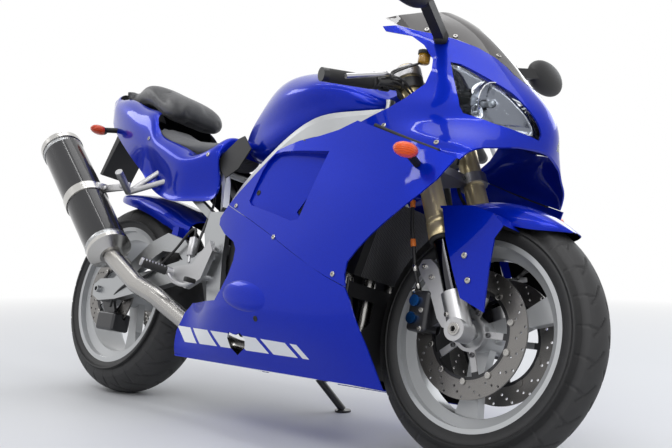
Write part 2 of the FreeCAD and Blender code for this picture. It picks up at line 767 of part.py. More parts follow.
crankcase_shares = [
    (-0.036, 0.511), (-0.065, 0.461), (-0.067, 0.361), (-0.057, 0.34), (-0.039, 0.301),
    (-0.029, 0.242), (0.014, 0.2), (0.143, 0.2), (0.188, 0.228), (0.204, 0.301),
    (0.215, 0.429), (0.237, 0.548), (0.183, 0.639), (0.108, 0.63), (0.043, 0.548), (0, 0.539),
]


def make_engine():
    """The in-line four as one plain block with a clutch cover, at its real place."""
    half = size("engine_half_width")
    block = prism([side(*share) for share in crankcase_shares], -half, half)
    for way in (1, -1):
        low, high = sorted((way * cylinder_half_share * WIDTH, way * WIDTH))
        block = block.cut(box_between(at(-1, 0, cylinder_foot_share) + ACROSS * low,
                                      at(1, 0, 1) + ACROSS * high))
    cover = side(*clutch_share)
    block = block.fuse(rod(cover - ACROSS * (half + size("clutch_cover_depth")), cover,
                           size("clutch_cover_radius")))
    cover = side(*generator_share)
    block = block.fuse(rod(cover, cover + ACROSS * (half + size("generator_cover_depth")),
                           size("generator_cover_radius")))
    shaft = front_sprocket_place()
    inner = size("chain_offset") - size("chain_half_width") - size("running_gap")
    reach = pitch_radius(FRONT_TEETH) + size("plate_half_height") + size("running_gap") * 2
    block = block.cut(rod(shaft + ACROSS * inner, shaft + ACROSS * WIDTH, reach))
    block = block.fuse(rod(shaft, shaft + ACROSS * (size("chain_offset") + size("sprocket_thickness")),
                           size("axle_radius") + GAP + WALL))
    keep("engine", block.fuse(front_sprocket()))


cylinder_half_share = 0.19
cylinder_foot_share = 0.449
clutch_share = (0.068, 0.301)
generator_share = (0.147, 0.311)
radiator_low_share = (0.282, 0.37)
radiator_high_share = (0.316, 0.548)


def make_radiator():
    """A finned core between two side tanks, leaning with the fork."""
    low, high = side(*radiator_low_share), side(*radiator_high_share)
    up = (high - low).normalize()
    ahead = ACROSS.cross(up)
    half = size("radiator_half_width")
    deep = size("radiator_depth")
    tank = size("radiator_tank")
    tall = high.distanceToPoint(low)

    def slab(low_y, high_y, depth, start, length):
        foot = low + up * start - ahead * (depth / 2) + ACROSS * low_y
        corners = [foot, foot + ahead * depth, foot + ahead * depth + ACROSS * (high_y - low_y),
                   foot + ACROSS * (high_y - low_y)]
        return Part.Face(Part.makePolygon(corners + corners[:1])).extrude(up * length)

    core = slab(-half + tank, half - tank, deep * 0.6, 0, tall)
    sides = [slab(-half, -half + tank, deep, 0, tall), slab(half - tank, half, deep, 0, tall)]
    fins = []
    count = 22
    for index in range(count):
        start = tall * (index + 0.5) / count
        fins.append(slab(-half + tank, half - tank, deep * 0.8, start, tall / count / 3))
    root, tip = radiator_stay_shares
    stay = rod(at(*root), at(*tip), size("hanger_radius"))
    stay = biggest(seated(stay, ["main_frame"]))
    keep("radiator", core.fuse(sides + fins + [stay, mirrored(stay)]))


radiator_stay_shares = [(0.313, -0.227, 0.534), (0.259, -0.242, 0.708)]


def make_exhaust():
    """Four head pipes to a collector under the engine, a mid pipe and the round silencer."""
    radius = size("header_radius")
    wall = size("pipe_wall")
    pipes = []
    for index in range(4):
        share = header_row_share * (index - 1.5)
        points = [at(x_share, share, z_share) for x_share, z_share in header_shares]
        gather = at(0, share * gather_share, 0).y
        points[-1].y = gather
        points[-2].y = gather
        pipes.append(bent_rod(points, radius, size("header_bend")))
    low, high = collector_shares
    box = box_between(at(*low), at(*high))
    box = box.makeFillet(size("header_radius") * 0.8, box.Edges)
    keep("exhaust_headers", biggest(seated(box.fuse(pipes), ["engine"])))
    points = [at(*share) for share in mid_pipe_shares]
    middle = bent_pipe(points, size("mid_pipe_radius"), wall, size("mid_pipe_bend"))
    keep("exhaust_mid_pipe", biggest(seated(middle, ["exhaust_headers"])))
    low_end, high_end = [at(*share) for share in silencer_shares]
    along = (high_end - low_end).normalize()
    cap = size("silencer_cap_length")
    outer = size("silencer_radius")
    sleeve = rod(low_end + along * cap, high_end - along * cap, outer)
    low_cap = Part.makeCone(size("mid_pipe_radius") * 1.35, outer + size("silencer_wall"), cap * 0.6,
                            low_end, along)
    low_cap = low_cap.fuse(Part.makeCylinder(outer + size("silencer_wall"), cap * 0.4,
                                             low_end + along * (cap * 0.6), along))
    high_cap = Part.makeCylinder(outer + size("silencer_wall"), cap * 0.6, high_end - along * cap, along)
    high_cap = high_cap.fuse(Part.makeCone(outer + size("silencer_wall"), outer * 0.6, cap * 0.4,
                                           high_end - along * (cap * 0.4), along))
    can = sleeve.fuse([low_cap, high_cap])
    can = can.cut(rod(high_end - along * (cap * 3), high_end + along * cap, size("mid_pipe_radius")))
    strap_at = low_end + along * (high_end.distanceToPoint(low_end) * strap_share)
    strap_half = size("strap_width") / 2
    strap = pipe(strap_at - along * strap_half, strap_at + along * strap_half,
                 outer + GAP + size("silencer_wall"), size("silencer_wall"))
    can = biggest(seated(can, ["exhaust_mid_pipe"]))
    keep("silencer", Part.makeCompound([can, strap]))


header_shares = [
    (0.228, 0.525), (0.249, 0.498), (0.252, 0.393), (0.249, 0.237), (0.215, 0.175),
    (0.136, 0.168),
]
header_row_share = 0.125
gather_share = 0.55
collector_shares = [(-0.014, -0.089, 0.146), (0.151, 0.089, 0.194)]
mid_pipe_shares = [
    (-0.013, -0.029, 0.168), (-0.079, -0.065, 0.174), (-0.136, -0.206, 0.205),
    (-0.237, -0.281, 0.275), (-0.301, -0.299, 0.301), (-0.409, -0.311, 0.375),
]
silencer_shares = [(-0.41, -0.312, 0.376), (-0.719, -0.338, 0.718)]
strap_share = 0.47


# Seat, tail and subframe

seat_rows = [
    # x, half width, top and bottom of the rider's pad
    (-0.192, 0.089, 0.738, 0.716), (-0.215, 0.121, 0.742, 0.705),
    (-0.272, 0.17, 0.742, 0.698), (-0.337, 0.19, 0.754, 0.712),
    (-0.394, 0.193, 0.778, 0.734), (-0.43, 0.184, 0.802, 0.769),
]
pillion_rows = [
    (-0.393, 0.115, 0.86, 0.833), (-0.401, 0.132, 0.875, 0.829),
    (-0.444, 0.144, 0.906, 0.835), (-0.502, 0.141, 0.933, 0.873),
    (-0.573, 0.121, 0.953, 0.906), (-0.682, 0.086, 0.961, 0.935),
]


def cushion(rows, grow=0.0):
    """A closed pad through crowned sections, or the clear space round it."""
    sections = []
    for index, (x_share, half_share, top_share, low_share) in enumerate(rows):
        end = (index == 0) - (index == len(rows) - 1)
        middle = at(x_share, 0, (top_share + low_share) / 2)
        ring = []
        for across, rise in ((0, 1), (0.55, 0.97), (0.9, 0.78), (1, 0.4), (0.93, 0.06), (0.5, 0),
                             (0, 0), (-0.5, 0), (-0.93, 0.06), (-1, 0.4), (-0.9, 0.78), (-0.55, 0.97)):
            z_share = low_share + (top_share - low_share) * rise
            point = at(x_share, half_share * across, z_share)
            out = (point - middle).normalize() * grow
            ring.append(point + out + Vector(end * grow, 0, 0))
        sections.append(ring)
    return loft(sections)


def make_seats():
    keep("rider_seat", cushion(seat_rows))
    keep("passenger_seat", cushion(pillion_rows))


def make_tank():
    """The fuel tank: one closed loft with shoulders, knee recesses and a filler cap seat."""
    sections = []
    for x_share, half in tank_rows:
        right = [at(x_share, -y, z) for y, z in half]
        left = [at(x_share, y, z) for y, z in reversed(half[1:-1])]
        sections.append(right + left)
    tank = loft(sections)
    cap_at = at(*fuel_cap_share)
    up = Vector(*cap_normal)
    radius = size("fuel_cap_radius")
    seat = rod(cap_at, cap_at + up * size("overrun"), radius + GAP)
    keep("fuel_tank", tank.cut(seat))
    lid = rod(cap_at + up * GAP, cap_at + up * (GAP + size("fuel_cap_height")), radius)
    keep("fuel_cap", lid)


tank_rows = [
    (-0.146, [
            (0, 0.705), (0.072, 0.707), (0.095, 0.718), (0.101, 0.74), (0.083, 0.762),
            (0.043, 0.772), (0, 0.774),
        ]),
    (-0.108, [
            (0, 0.68), (0.101, 0.683), (0.132, 0.699), (0.138, 0.742), (0.127, 0.796),
            (0.079, 0.845), (0, 0.858),
        ]),
    (-0.065, [
            (0, 0.678), (0.122, 0.679), (0.161, 0.699), (0.167, 0.744), (0.163, 0.813),
            (0.122, 0.872), (0, 0.9),
        ]),
    (0, [
            (0, 0.692), (0.141, 0.694), (0.19, 0.717), (0.199, 0.758), (0.216, 0.813),
            (0.176, 0.875), (0, 0.913),
        ]),
    (0.079, [
            (0, 0.726), (0.151, 0.728), (0.201, 0.744), (0.223, 0.774), (0.253, 0.816),
            (0.199, 0.869), (0, 0.911),
        ]),
    (0.151, [
            (0, 0.747), (0.151, 0.749), (0.204, 0.76), (0.227, 0.785), (0.247, 0.816),
            (0.19, 0.858), (0, 0.897),
        ]),
    (0.208, [
            (0, 0.76), (0.137, 0.762), (0.176, 0.769), (0.19, 0.789), (0.19, 0.809),
            (0.141, 0.838), (0, 0.874),
        ]),
    (0.242, [
            (0, 0.773), (0.083, 0.774), (0.109, 0.778), (0.118, 0.789), (0.112, 0.804),
            (0.081, 0.822), (0, 0.847),
        ]),
]
fuel_cap_share = (0.043, 0, 0.91)
cap_normal = (0.0, 0.0, 1.0)


def make_tail():
    """The tail cowl: a moulded shell, with its arched lower edge cut on both sides."""
    sections = []
    for x_share, half in tail_rows:
        right = [at(x_share, -y, z) for y, z in half]
        left = [at(x_share, y, z) for y, z in reversed(half[:-1])]
        sections.append(right + left)
    shell = skin(sections, WALL, Vector(-1, 0, 0))
    shell = shell.cut(prism([side(*share) for share in tail_under_shares], -WIDTH, WIDTH))
    for rows in (seat_rows, pillion_rows):
        shell = shell.cut(seat_opening(rows))
    keep("tail_cowl", biggest(shell.cut(cushion(seat_rows, GAP * 2))))


def seat_opening(rows):
    """The clear way down through the tail where a seat sits."""
    margin = GAP * 2
    right, left = [], []
    for index, (x_share, half_share, top_share, low_share) in enumerate(rows):
        end = (index == 0) - (index == len(rows) - 1)
        corner = at(x_share, -half_share, seat_floor_share) + Vector(end * WALL, -margin, 0)
        right.append(corner)
        left.insert(0, Vector(corner.x, -corner.y, corner.z))
    outline = Part.makePolygon(right + left + right[:1])
    return Part.Face(outline).extrude(Vector(0, 0, HEIGHT))


seat_floor_share = 0.639


tail_rows = [
    (-0.159, [(0.196, 0.584), (0.21, 0.639), (0.219, 0.674), (0.19, 0.694), (0.086, 0.698), (0, 0.698)]),
    (-0.215, [(0.216, 0.548), (0.227, 0.63), (0.232, 0.678), (0.199, 0.692), (0.086, 0.689), (0, 0.687)]),
    (-0.28, [(0.227, 0.548), (0.237, 0.63), (0.239, 0.678), (0.206, 0.696), (0.086, 0.689), (0, 0.685)]),
    (-0.344, [(0.216, 0.566), (0.229, 0.658), (0.233, 0.708), (0.207, 0.727), (0.086, 0.705), (0, 0.701)]),
    (-0.405, [(0.204, 0.603), (0.217, 0.694), (0.22, 0.744), (0.2, 0.76), (0.086, 0.731), (0, 0.727)]),
    (-0.443, [(0.196, 0.639), (0.21, 0.721), (0.213, 0.776), (0.178, 0.822), (0.086, 0.822), (0, 0.824)]),
    (-0.502, [(0.184, 0.685), (0.2, 0.758), (0.199, 0.808), (0.153, 0.857), (0.079, 0.862), (0, 0.864)]),
    (-0.573, [(0.164, 0.74), (0.178, 0.799), (0.176, 0.845), (0.129, 0.889), (0.065, 0.897), (0, 0.899)]),
    (-0.645, [(0.132, 0.795), (0.144, 0.845), (0.141, 0.881), (0.101, 0.917), (0.05, 0.924), (0, 0.926)]),
    (-0.703, [(0.095, 0.849), (0.101, 0.881), (0.098, 0.909), (0.072, 0.933), (0.036, 0.942), (0, 0.944)]),
    (-0.743, [(0.058, 0.9), (0.059, 0.918), (0.058, 0.93), (0.04, 0.946), (0.02, 0.952), (0, 0.953)]),
]
tail_under_shares = [
    (-0.129, 0.511), (-0.147, 0.511), (-0.147, 0.659), (-0.179, 0.644), (-0.204, 0.644),
    (-0.237, 0.639), (-0.252, 0.61), (-0.267, 0.577), (-0.283, 0.574), (-0.308, 0.614),
    (-0.373, 0.644), (-0.459, 0.699), (-0.545, 0.763), (-0.616, 0.813), (-0.681, 0.863),
    (-0.724, 0.904), (-0.76, 0.922), (-0.76, 0.457), (-0.129, 0.457),
]


def make_undertail():
    """The tray under the tail with the hanging plate holder."""
    sections = []
    for x_share, half_share, top_share, low_share in undertail_rows:
        low, high = low_share, top_share
        ring = [at(x_share, a * half_share, z) for a, z in
                ((1, high), (-1, high), (-1, low), (1, low))]
        sections.append(Part.makePolygon(ring + ring[:1]))
    tray = Part.makeLoft(sections, True, True)
    holder = prism([side(*share) for share in plate_holder_shares], -size("plate_half"),
                   size("plate_half"))
    keep("undertail", biggest(seated(tray.fuse(holder), ["subframe"])))
    lamp = box_between(at(*tail_light_shares[0]), at(*tail_light_shares[1]))
    lamp = lamp.makeFillet(size("bead_width") / 2, lamp.Edges)
    keep("tail_light", biggest(seated(lamp, ["undertail", "tail_cowl"])))


undertail_rows = [
    (-0.315, 0.127, 0.658, 0.639),
    (-0.43, 0.127, 0.712, 0.694),
    (-0.573, 0.104, 0.787, 0.776),
    (-0.667, 0.086, 0.858, 0.845),
    (-0.71, 0.06, 0.904, 0.888),
]
plate_holder_shares = [
    (-0.588, 0.796), (-0.645, 0.833), (-0.663, 0.826), (-0.717, 0.671), (-0.706, 0.667),
    (-0.649, 0.804), (-0.609, 0.776),
]
tail_light_shares = [(-0.733, -0.046, 0.879), (-0.701, 0.046, 0.915)]


def make_signals():
    """Four turn signals on short stalks that share a node."""
    signals = []
    for root, tip in (front_signal_shares, rear_signal_shares):
        start, end = at(*root), at(*tip)
        stalk = rod(start, end, size("signal_stalk_radius"))
        out = (end - start).normalize()
        body = Part.makeSphere(size("signal_radius"))
        stretch = FreeCAD.Matrix()
        stretch.scale(Vector(*signal_stretch_shares))
        body = body.transformGeometry(stretch)
        body.translate(end + out * size("signal_radius"))
        signal = biggest(seated(stalk.fuse(body), ["undertail", "side_fairing_right", "tail_cowl"]))
        signals.append(both_sides(signal))
    keep("turn_signals", Part.makeCompound(signals))


signal_stretch_shares = (1.25, 1.5, 0.8)
front_signal_shares = [(0.45, -0.377, 0.586), (0.454, -0.429, 0.595)]
rear_signal_shares = [(-0.631, -0.089, 0.811), (-0.656, -0.187, 0.796)]


def make_hugger():
    """The rear hugger: an arched shell over the rear tyre."""
    sections = []
    for x_share, half in hugger_rows:
        right = [at(x_share, -y, z) for y, z in half]
        left = [at(x_share, y, z) for y, z in reversed(half[:-1])]
        sections.append(right + left)
    arch = skin(sections, size("screen_wall"), Vector(-1, 0, 0))
    low, high = [at(*share) for share in hugger_lug_shares]
    lug = box_between(low, high)
    keep("rear_hugger", biggest(seated(arch.fuse([lug, mirrored(lug)]), ["swingarm"])))


hugger_lug_shares = [(-0.288, -0.19, 0.437), (-0.267, -0.152, 0.479)]


hugger_rows = [
    (-0.252, [(0.153, 0.457), (0.15, 0.489), (0.101, 0.508), (0, 0.513)]),
    (-0.315, [(0.155, 0.475), (0.153, 0.513), (0.104, 0.539), (0, 0.546)]),
    (-0.401, [(0.155, 0.516), (0.153, 0.548), (0.104, 0.574), (0, 0.583)]),
    (-0.495, [(0.151, 0.548), (0.147, 0.574), (0.098, 0.592), (0, 0.599)]),
    (-0.588, [(0.086, 0.584), (0.081, 0.595), (0.043, 0.606), (0, 0.61)]),
]


# Fairing

cowl_rows = [
    (0.584, [
            (0, 0.545), (0.086, 0.541), (0.173, 0.536), (0.245, 0.53), (0.295, 0.522),
            (0.328, 0.505), (0.35, 0.473), (0.36, 0.43), (0.363, 0.358), (0.36, 0.272),
        ]),
    (0.639, [
            (0, 0.561), (0.086, 0.556), (0.158, 0.548), (0.216, 0.539), (0.266, 0.527),
            (0.305, 0.505), (0.331, 0.47), (0.345, 0.423), (0.354, 0.358), (0.357, 0.272),
        ]),
    (0.676, [
            (0, 0.566), (0.072, 0.561), (0.137, 0.551), (0.194, 0.532), (0.242, 0.509),
            (0.281, 0.477), (0.311, 0.437), (0.331, 0.394), (0.342, 0.344), (0.35, 0.272),
        ]),
    (0.712, [
            (0, 0.571), (0.058, 0.566), (0.108, 0.553), (0.158, 0.532), (0.209, 0.5),
            (0.252, 0.462), (0.288, 0.419), (0.314, 0.373), (0.329, 0.33), (0.341, 0.272),
        ]),
    (0.749, [
            (0, 0.566), (0.049, 0.561), (0.095, 0.548), (0.144, 0.525), (0.191, 0.495),
            (0.235, 0.455), (0.271, 0.412), (0.296, 0.367), (0.314, 0.323), (0.327, 0.265),
        ]),
    (0.785, [
            (0, 0.549), (0.046, 0.544), (0.089, 0.531), (0.137, 0.507), (0.181, 0.476),
            (0.22, 0.439), (0.252, 0.398), (0.278, 0.355), (0.295, 0.312), (0.308, 0.262),
        ]),
    (0.822, [
            (0, 0.522), (0.043, 0.518), (0.083, 0.506), (0.127, 0.484), (0.167, 0.456),
            (0.204, 0.422), (0.235, 0.384), (0.259, 0.343), (0.278, 0.301), (0.292, 0.251),
        ]),
    (0.858, [
            (0, 0.495), (0.042, 0.49), (0.081, 0.48), (0.121, 0.459), (0.158, 0.432),
            (0.193, 0.398), (0.222, 0.361), (0.245, 0.324), (0.263, 0.285), (0.278, 0.24),
        ]),
    (0.9, [
            (0, 0.465), (0.04, 0.46), (0.078, 0.449), (0.115, 0.429), (0.15, 0.403),
            (0.183, 0.371), (0.212, 0.337), (0.235, 0.303), (0.255, 0.267), (0.271, 0.226),
        ]),
    (0.941, [
            (0, 0.433), (0.039, 0.429), (0.075, 0.417), (0.111, 0.398), (0.144, 0.373),
            (0.176, 0.344), (0.204, 0.312), (0.229, 0.278), (0.249, 0.245), (0.265, 0.209),
        ]),
    (0.982, [
            (0, 0.396), (0.037, 0.392), (0.072, 0.381), (0.106, 0.361), (0.14, 0.337),
            (0.17, 0.309), (0.199, 0.278), (0.223, 0.247), (0.243, 0.216), (0.259, 0.185),
        ]),
    (1.032, [
            (0, 0.333), (0.036, 0.329), (0.069, 0.318), (0.102, 0.3), (0.134, 0.278),
            (0.164, 0.252), (0.191, 0.225), (0.216, 0.197), (0.236, 0.169), (0.252, 0.14),
        ]),
]


def cowl_skin(rows, wall):
    """A shell round the nose through level plan curves."""
    sections = []
    for z_share, half in rows:
        right = [at(x, -y, z_share) for y, x in reversed(half)]
        left = [at(x, y, z_share) for y, x in half[1:]]
        sections.append(right + left)
    return skin(sections, wall, Vector(0, 0, 1))


cowl_shares = [
    (0.294, 0.699), (0.342, 0.678), (0.389, 0.656), (0.455, 0.627), (0.509, 0.604),
    (0.518, 0.623), (0.528, 0.638), (0.543, 0.654), (0.558, 0.668), (0.573, 0.68),
    (0.595, 0.694), (0.595, 0.804), (0.522, 0.822), (0.495, 0.848), (0.479, 0.868),
    (0.459, 0.888), (0.429, 0.91), (0.391, 0.928), (0.371, 0.935), (0.337, 0.944),
    (0.315, 0.95), (0.281, 0.964), (0.254, 0.961), (0.265, 0.946), (0.317, 0.932),
    (0.347, 0.906), (0.375, 0.865), (0.384, 0.835), (0.386, 0.795), (0.364, 0.756),
    (0.342, 0.732),
]
lens_shares = [
    (0.184, 0.86), (0.17, 0.856), (0.14, 0.821), (0.112, 0.792), (0.095, 0.76), (0.072, 0.731),
    (0.053, 0.705), (0.056, 0.691), (0.129, 0.696), (0.187, 0.705), (0.213, 0.715),
    (0.236, 0.723), (0.236, 0.741), (0.224, 0.772), (0.204, 0.819),
]
screen_cut_shares = [
    (0.534, 0.82), (0.522, 0.823), (0.495, 0.849), (0.479, 0.869), (0.459, 0.888),
    (0.429, 0.91), (0.391, 0.929), (0.371, 0.936), (0.337, 0.945), (0.315, 0.951),
    (0.281, 0.965), (0.251, 0.986), (0.313, 1.014), (0.337, 1.034), (0.373, 1.041),
    (0.444, 0.968), (0.516, 0.877),
]


def cross_prism(outline, low_x, high_x):
    """Extrude a closed front view outline along the machine."""
    wire = Part.makePolygon([Vector(low_x, p.y, p.z) for p in outline + outline[:1]])
    return Part.Face(wire).extrude(Vector(high_x - low_x, 0, 0))


def make_cowl():
    """The upper cowl with its two lamp openings, the lamps' lenses, and the windscreen."""
    shell = cowl_skin(cowl_rows, WALL)
    outline = prism([side(*share) for share in cowl_shares], -WIDTH, WIDTH)
    opening = cross_prism([at(0, -y, z) for y, z in lens_shares], at(lens_back_share, 0, 0).x, WHEELBASE)
    openings = [opening, mirrored(opening)]
    cowl = shell.common(outline)
    keep("upper_cowl", cowl.cut(Part.makeCompound(openings)))
    lens_outline = inset_outline([at(0, -y, z) for y, z in lens_shares], size("lens_gap"))
    lens_prism = cross_prism(lens_outline, at(lens_back_share, 0, 0).x, WHEELBASE)
    lens = shell.common(outline).common(lens_prism)
    keep("headlamps", Part.makeCompound([both_sides(lens), headlamp_bowls()]))
    screen = cowl_skin(cowl_rows, size("screen_wall"))
    screen = screen.common(prism([side(*share) for share in screen_cut_shares], -WIDTH, WIDTH))
    keep("windscreen", screen)


lens_back_share = 0.337


def inset_outline(points, distance):
    """Move a closed outline in by a distance."""
    middle = sum(points, Vector(0, 0, 0)) * (1.0 / len(points))
    moved = []
    for point in points:
        inward = middle - point
        moved.append(point + inward * (distance / inward.Length))
    return moved


def headlamp_bowls():
    """The lamp bowls behind the lenses."""
    start, end = at(*lamp_bowl_shares[0]), at(*lamp_bowl_shares[1])
    bowl = Part.makeCone(size("lamp_rear_radius"), size("lamp_front_radius"),
                         start.distanceToPoint(end), start, end - start)
    return both_sides(bowl)


lamp_bowl_shares = [(0.401, -0.101, 0.776), (0.47, -0.118, 0.769)]


def make_mirrors():
    """Mirrors on slim stalks that stand on the cowl."""
    root, knee, head = [at(*share) for share in mirror_shares]
    stalk = loft_boxes([root, knee], size("mirror_stalk_width") / 2, size("mirror_stalk_width") / 2)
    shell = Part.makeSphere(size("mirror_half_width"))
    stretch = FreeCAD.Matrix()
    stretch.scale(Vector(*mirror_head_shares))
    shell = shell.transformGeometry(stretch)
    shell.translate(head)
    keep("mirrors", both_sides(stalk.fuse(shell)))


mirror_shares = [(0.373, -0.176, 0.926), (0.401, -0.36, 0.961), (0.398, -0.439, 0.97)]
mirror_head_shares = (0.4, 1.0, 0.58)


def make_side_covers():
    """Plain covers between the seat and the tank."""
    cover = prism([side(*share) for share in side_cover_shares], -size("cover_offset") - WALL,
                  -size("cover_offset"))
    keep("side_covers", both_sides(biggest(seated(cover, ["subframe"]))))


side_cover_shares = [
    (-0.171, 0.659), (-0.161, 0.68), (-0.118, 0.721), (-0.1, 0.728), (-0.072, 0.691),
    (-0.1, 0.639), (-0.136, 0.614), (-0.153, 0.632),
]


fairing_levels = (0.128, 0.137, 0.201, 0.265, 0.329, 0.402, 0.475, 0.548, 0.621, 0.694, 0.749)
fairing_rows = [
    (-0.172, (0.242, 0.253, 0.273, 0.285, 0.291, 0.294, 0.295, 0.295, 0.295, 0.295, 0.288)),
    (-0.043, (0.256, 0.266, 0.305, 0.328, 0.332, 0.329, 0.322, 0.317, 0.314, 0.311, 0.302)),
    (0.072, (0.262, 0.273, 0.334, 0.377, 0.378, 0.365, 0.354, 0.345, 0.34, 0.334, 0.324)),
    (0.186, (0.265, 0.273, 0.34, 0.383, 0.388, 0.383, 0.374, 0.368, 0.36, 0.351, 0.338)),
    (0.301, (0.268, 0.276, 0.34, 0.38, 0.391, 0.394, 0.391, 0.383, 0.371, 0.36, 0.342)),
    (0.401, (0.265, 0.273, 0.324, 0.368, 0.388, 0.397, 0.397, 0.388, 0.374, 0.36, 0.328)),
    (0.487, (0.242, 0.25, 0.295, 0.345, 0.374, 0.388, 0.386, 0.371, 0.351, 0.328, 0.273)),
    (0.545, (0.201, 0.216, 0.259, 0.305, 0.334, 0.345, 0.338, 0.319, 0.288, 0.242, 0.173)),
]


def fairing_skin():
    """The right-hand flank as one thin shell, before it is split into panels."""
    sections = []
    for x_share, half_shares in fairing_rows:
        rows = list(zip(fairing_levels, half_shares))
        sections.append([at(x_share, -half, z_share) for z_share, half in rows])
    return skin(sections, WALL, Vector(-1, 0, 0))


side_panel_shares = [
    (-0.03, 0.516), (-0.002, 0.55), (0.034, 0.587), (0.065, 0.617), (0.094, 0.646),
    (0.121, 0.655), (0.153, 0.664), (0.206, 0.67), (0.253, 0.68), (0.294, 0.698),
    (0.342, 0.677), (0.389, 0.655), (0.455, 0.627), (0.51, 0.603), (0.49, 0.554),
    (0.467, 0.522), (0.436, 0.488), (0.411, 0.462), (0.385, 0.434), (0.361, 0.404),
    (0.343, 0.376), (0.341, 0.351), (0.346, 0.324), (0.298, 0.344), (0.258, 0.364),
    (0.199, 0.397), (0.133, 0.435), (0.058, 0.474),
]
lower_panel_shares = [
    (-0.031, 0.515), (-0.052, 0.484), (-0.049, 0.466), (-0.019, 0.441), (0.022, 0.419),
    (0.035, 0.401), (0.039, 0.372), (0.035, 0.336), (0.023, 0.302), (0.004, 0.273),
    (-0.113, 0.266), (-0.137, 0.24), (-0.153, 0.194), (-0.155, 0.119), (0.409, 0.119),
    (0.399, 0.164), (0.387, 0.212), (0.371, 0.259), (0.358, 0.298), (0.345, 0.323),
    (0.298, 0.343), (0.258, 0.364), (0.199, 0.396), (0.133, 0.434), (0.058, 0.473),
]
vent_shares = [
    (0.242, 0.63), (0.215, 0.633), (0.158, 0.639), (0.114, 0.641), (0.088, 0.637),
    (0.072, 0.621), (0.06, 0.598), (0.047, 0.558), (0.039, 0.522), (0.05, 0.511),
    (0.129, 0.486), (0.18, 0.468), (0.2, 0.47),
]
vent_slot_shares = [
    (0.244, 0.623), (0.237, 0.595), (0.219, 0.539), (0.204, 0.476), (0.189, 0.474),
    (0.172, 0.494), (0.191, 0.528), (0.217, 0.584), (0.231, 0.617),
]


def make_side_panels():
    """The right and left fairing panels with their recessed vents, and the lower panels."""
    flank = fairing_skin()
    panel = flank.common(prism([side(*share) for share in side_panel_shares], -WIDTH, 0))
    vent = prism([side(*share) for share in vent_shares], -WIDTH, 0)
    panel = panel.cut(vent)
    panel = panel.fuse(vent_walls(flank))
    lower = flank.common(prism([side(*share) for share in lower_panel_shares], -WIDTH, 0))
    pan = belly_skin().common(prism([side(*share) for share in lower_panel_shares], -WIDTH, 0))
    lower = lower.fuse([pan, side_bulge()])
    for end, place in (("right", 1), ("left", -1)):
        keep("side_fairing_" + end, panel if place > 0 else mirrored(panel))
    keep("lower_fairing_right", lower.cut(prism([side(*share) for share in drain_shares], -WIDTH, 0)))
    stand_low, stand_high = stand_notch_shares
    notch = box_between(at(*stand_low), at(*stand_high))
    keep("lower_fairing_left", mirrored(lower).cut(notch))


def side_bulge():
    """The long swelling that gives the engine cover room, as half of a flattened ball."""
    long, deep, tall = size("bulge_half_length"), size("bulge_depth"), size("bulge_half_height")
    ball = Part.makeSphere(1.0)
    matrix = FreeCAD.Matrix()
    matrix.scale(long, deep, tall)
    ball = ball.transformGeometry(matrix)
    ball.rotate(Vector(0, 0, 0), ACROSS, size("bulge_turn_degrees"))
    ball.translate(at(*bulge_share))
    x, y, z = bulge_share
    inside = box_between(at(x - bulge_room_share, y, z - bulge_room_share),
                         at(x + bulge_room_share, y + bulge_room_share, z + bulge_room_share))
    return ball.cut(inside)


bulge_share = (0.105, -0.373, 0.289)
bulge_room_share = 0.2
drain_shares = [
    (0.039, 0.19), (0.046, 0.203), (0.063, 0.198), (0.08, 0.204), (0.092, 0.192),
    (0.086, 0.172), (0.06, 0.153), (0.044, 0.168),
]
stand_notch_shares = [(-0.136, 0.158, 0.11), (0.068, 0.432, 0.203)]
belly_share = 0.129
pan_seam_share = 0.001
pan_front_share = 0.281
pan_rear_share = -0.153


def belly_skin():
    """The flat under-pan that turns inward from the flank to the centre line."""
    low = belly_share * HEIGHT
    edge = [Vector(x * WHEELBASE, WALL / 2 - halves[0] * WIDTH, low) for x, halves in fairing_rows
            if pan_rear_share < x < pan_front_share]
    rear, front = pan_rear_share * WHEELBASE, pan_front_share * WHEELBASE
    inner = -pan_seam_share * WIDTH
    corners = [Vector(rear, inner, low), Vector(rear, edge[0].y, low)] + edge
    corners += [Vector(front, edge[-1].y, low), Vector(front, inner, low)]
    return Part.Face(Part.makePolygon(corners + corners[:1])).extrude(Vector(0, 0, WALL))


def vent_walls(flank):
    """The vent's floor and side walls, set inward behind the opening, with a slot at the front."""
    depth = size("vent_depth")
    outline = [side(*share) for share in vent_shares]
    plug = prism(scaled_outline(outline, WALL), -WIDTH, 0)
    floor = flank.copy()
    rear = min(outline, key=lambda point: point.x)
    front = max(outline, key=lambda point: point.x)
    near = size("vent_rear_depth")
    floor.translate(ACROSS * near)
    turn = math.degrees(math.atan2(depth - near, front.x - rear.x))
    floor.rotate(Vector(rear.x, -vent_hinge_share * WIDTH, 0), Vector(0, 0, 1), turn)
    floor = floor.common(plug)
    floor = floor.cut(prism([side(*share) for share in vent_slot_shares], -WIDTH, 0))
    ring = flank_block(WALL / 2, depth + WALL / 2).common(plug).cut(prism(outline, -WIDTH, 0))
    return floor.fuse(ring)


vent_hinge_share = 0.357


def scaled_outline(points, distance):
    """Move a closed outline out by a distance."""
    middle = sum(points, Vector(0, 0, 0)) * (1.0 / len(points))
    return [point + (point - middle).normalize() * distance for point in points]


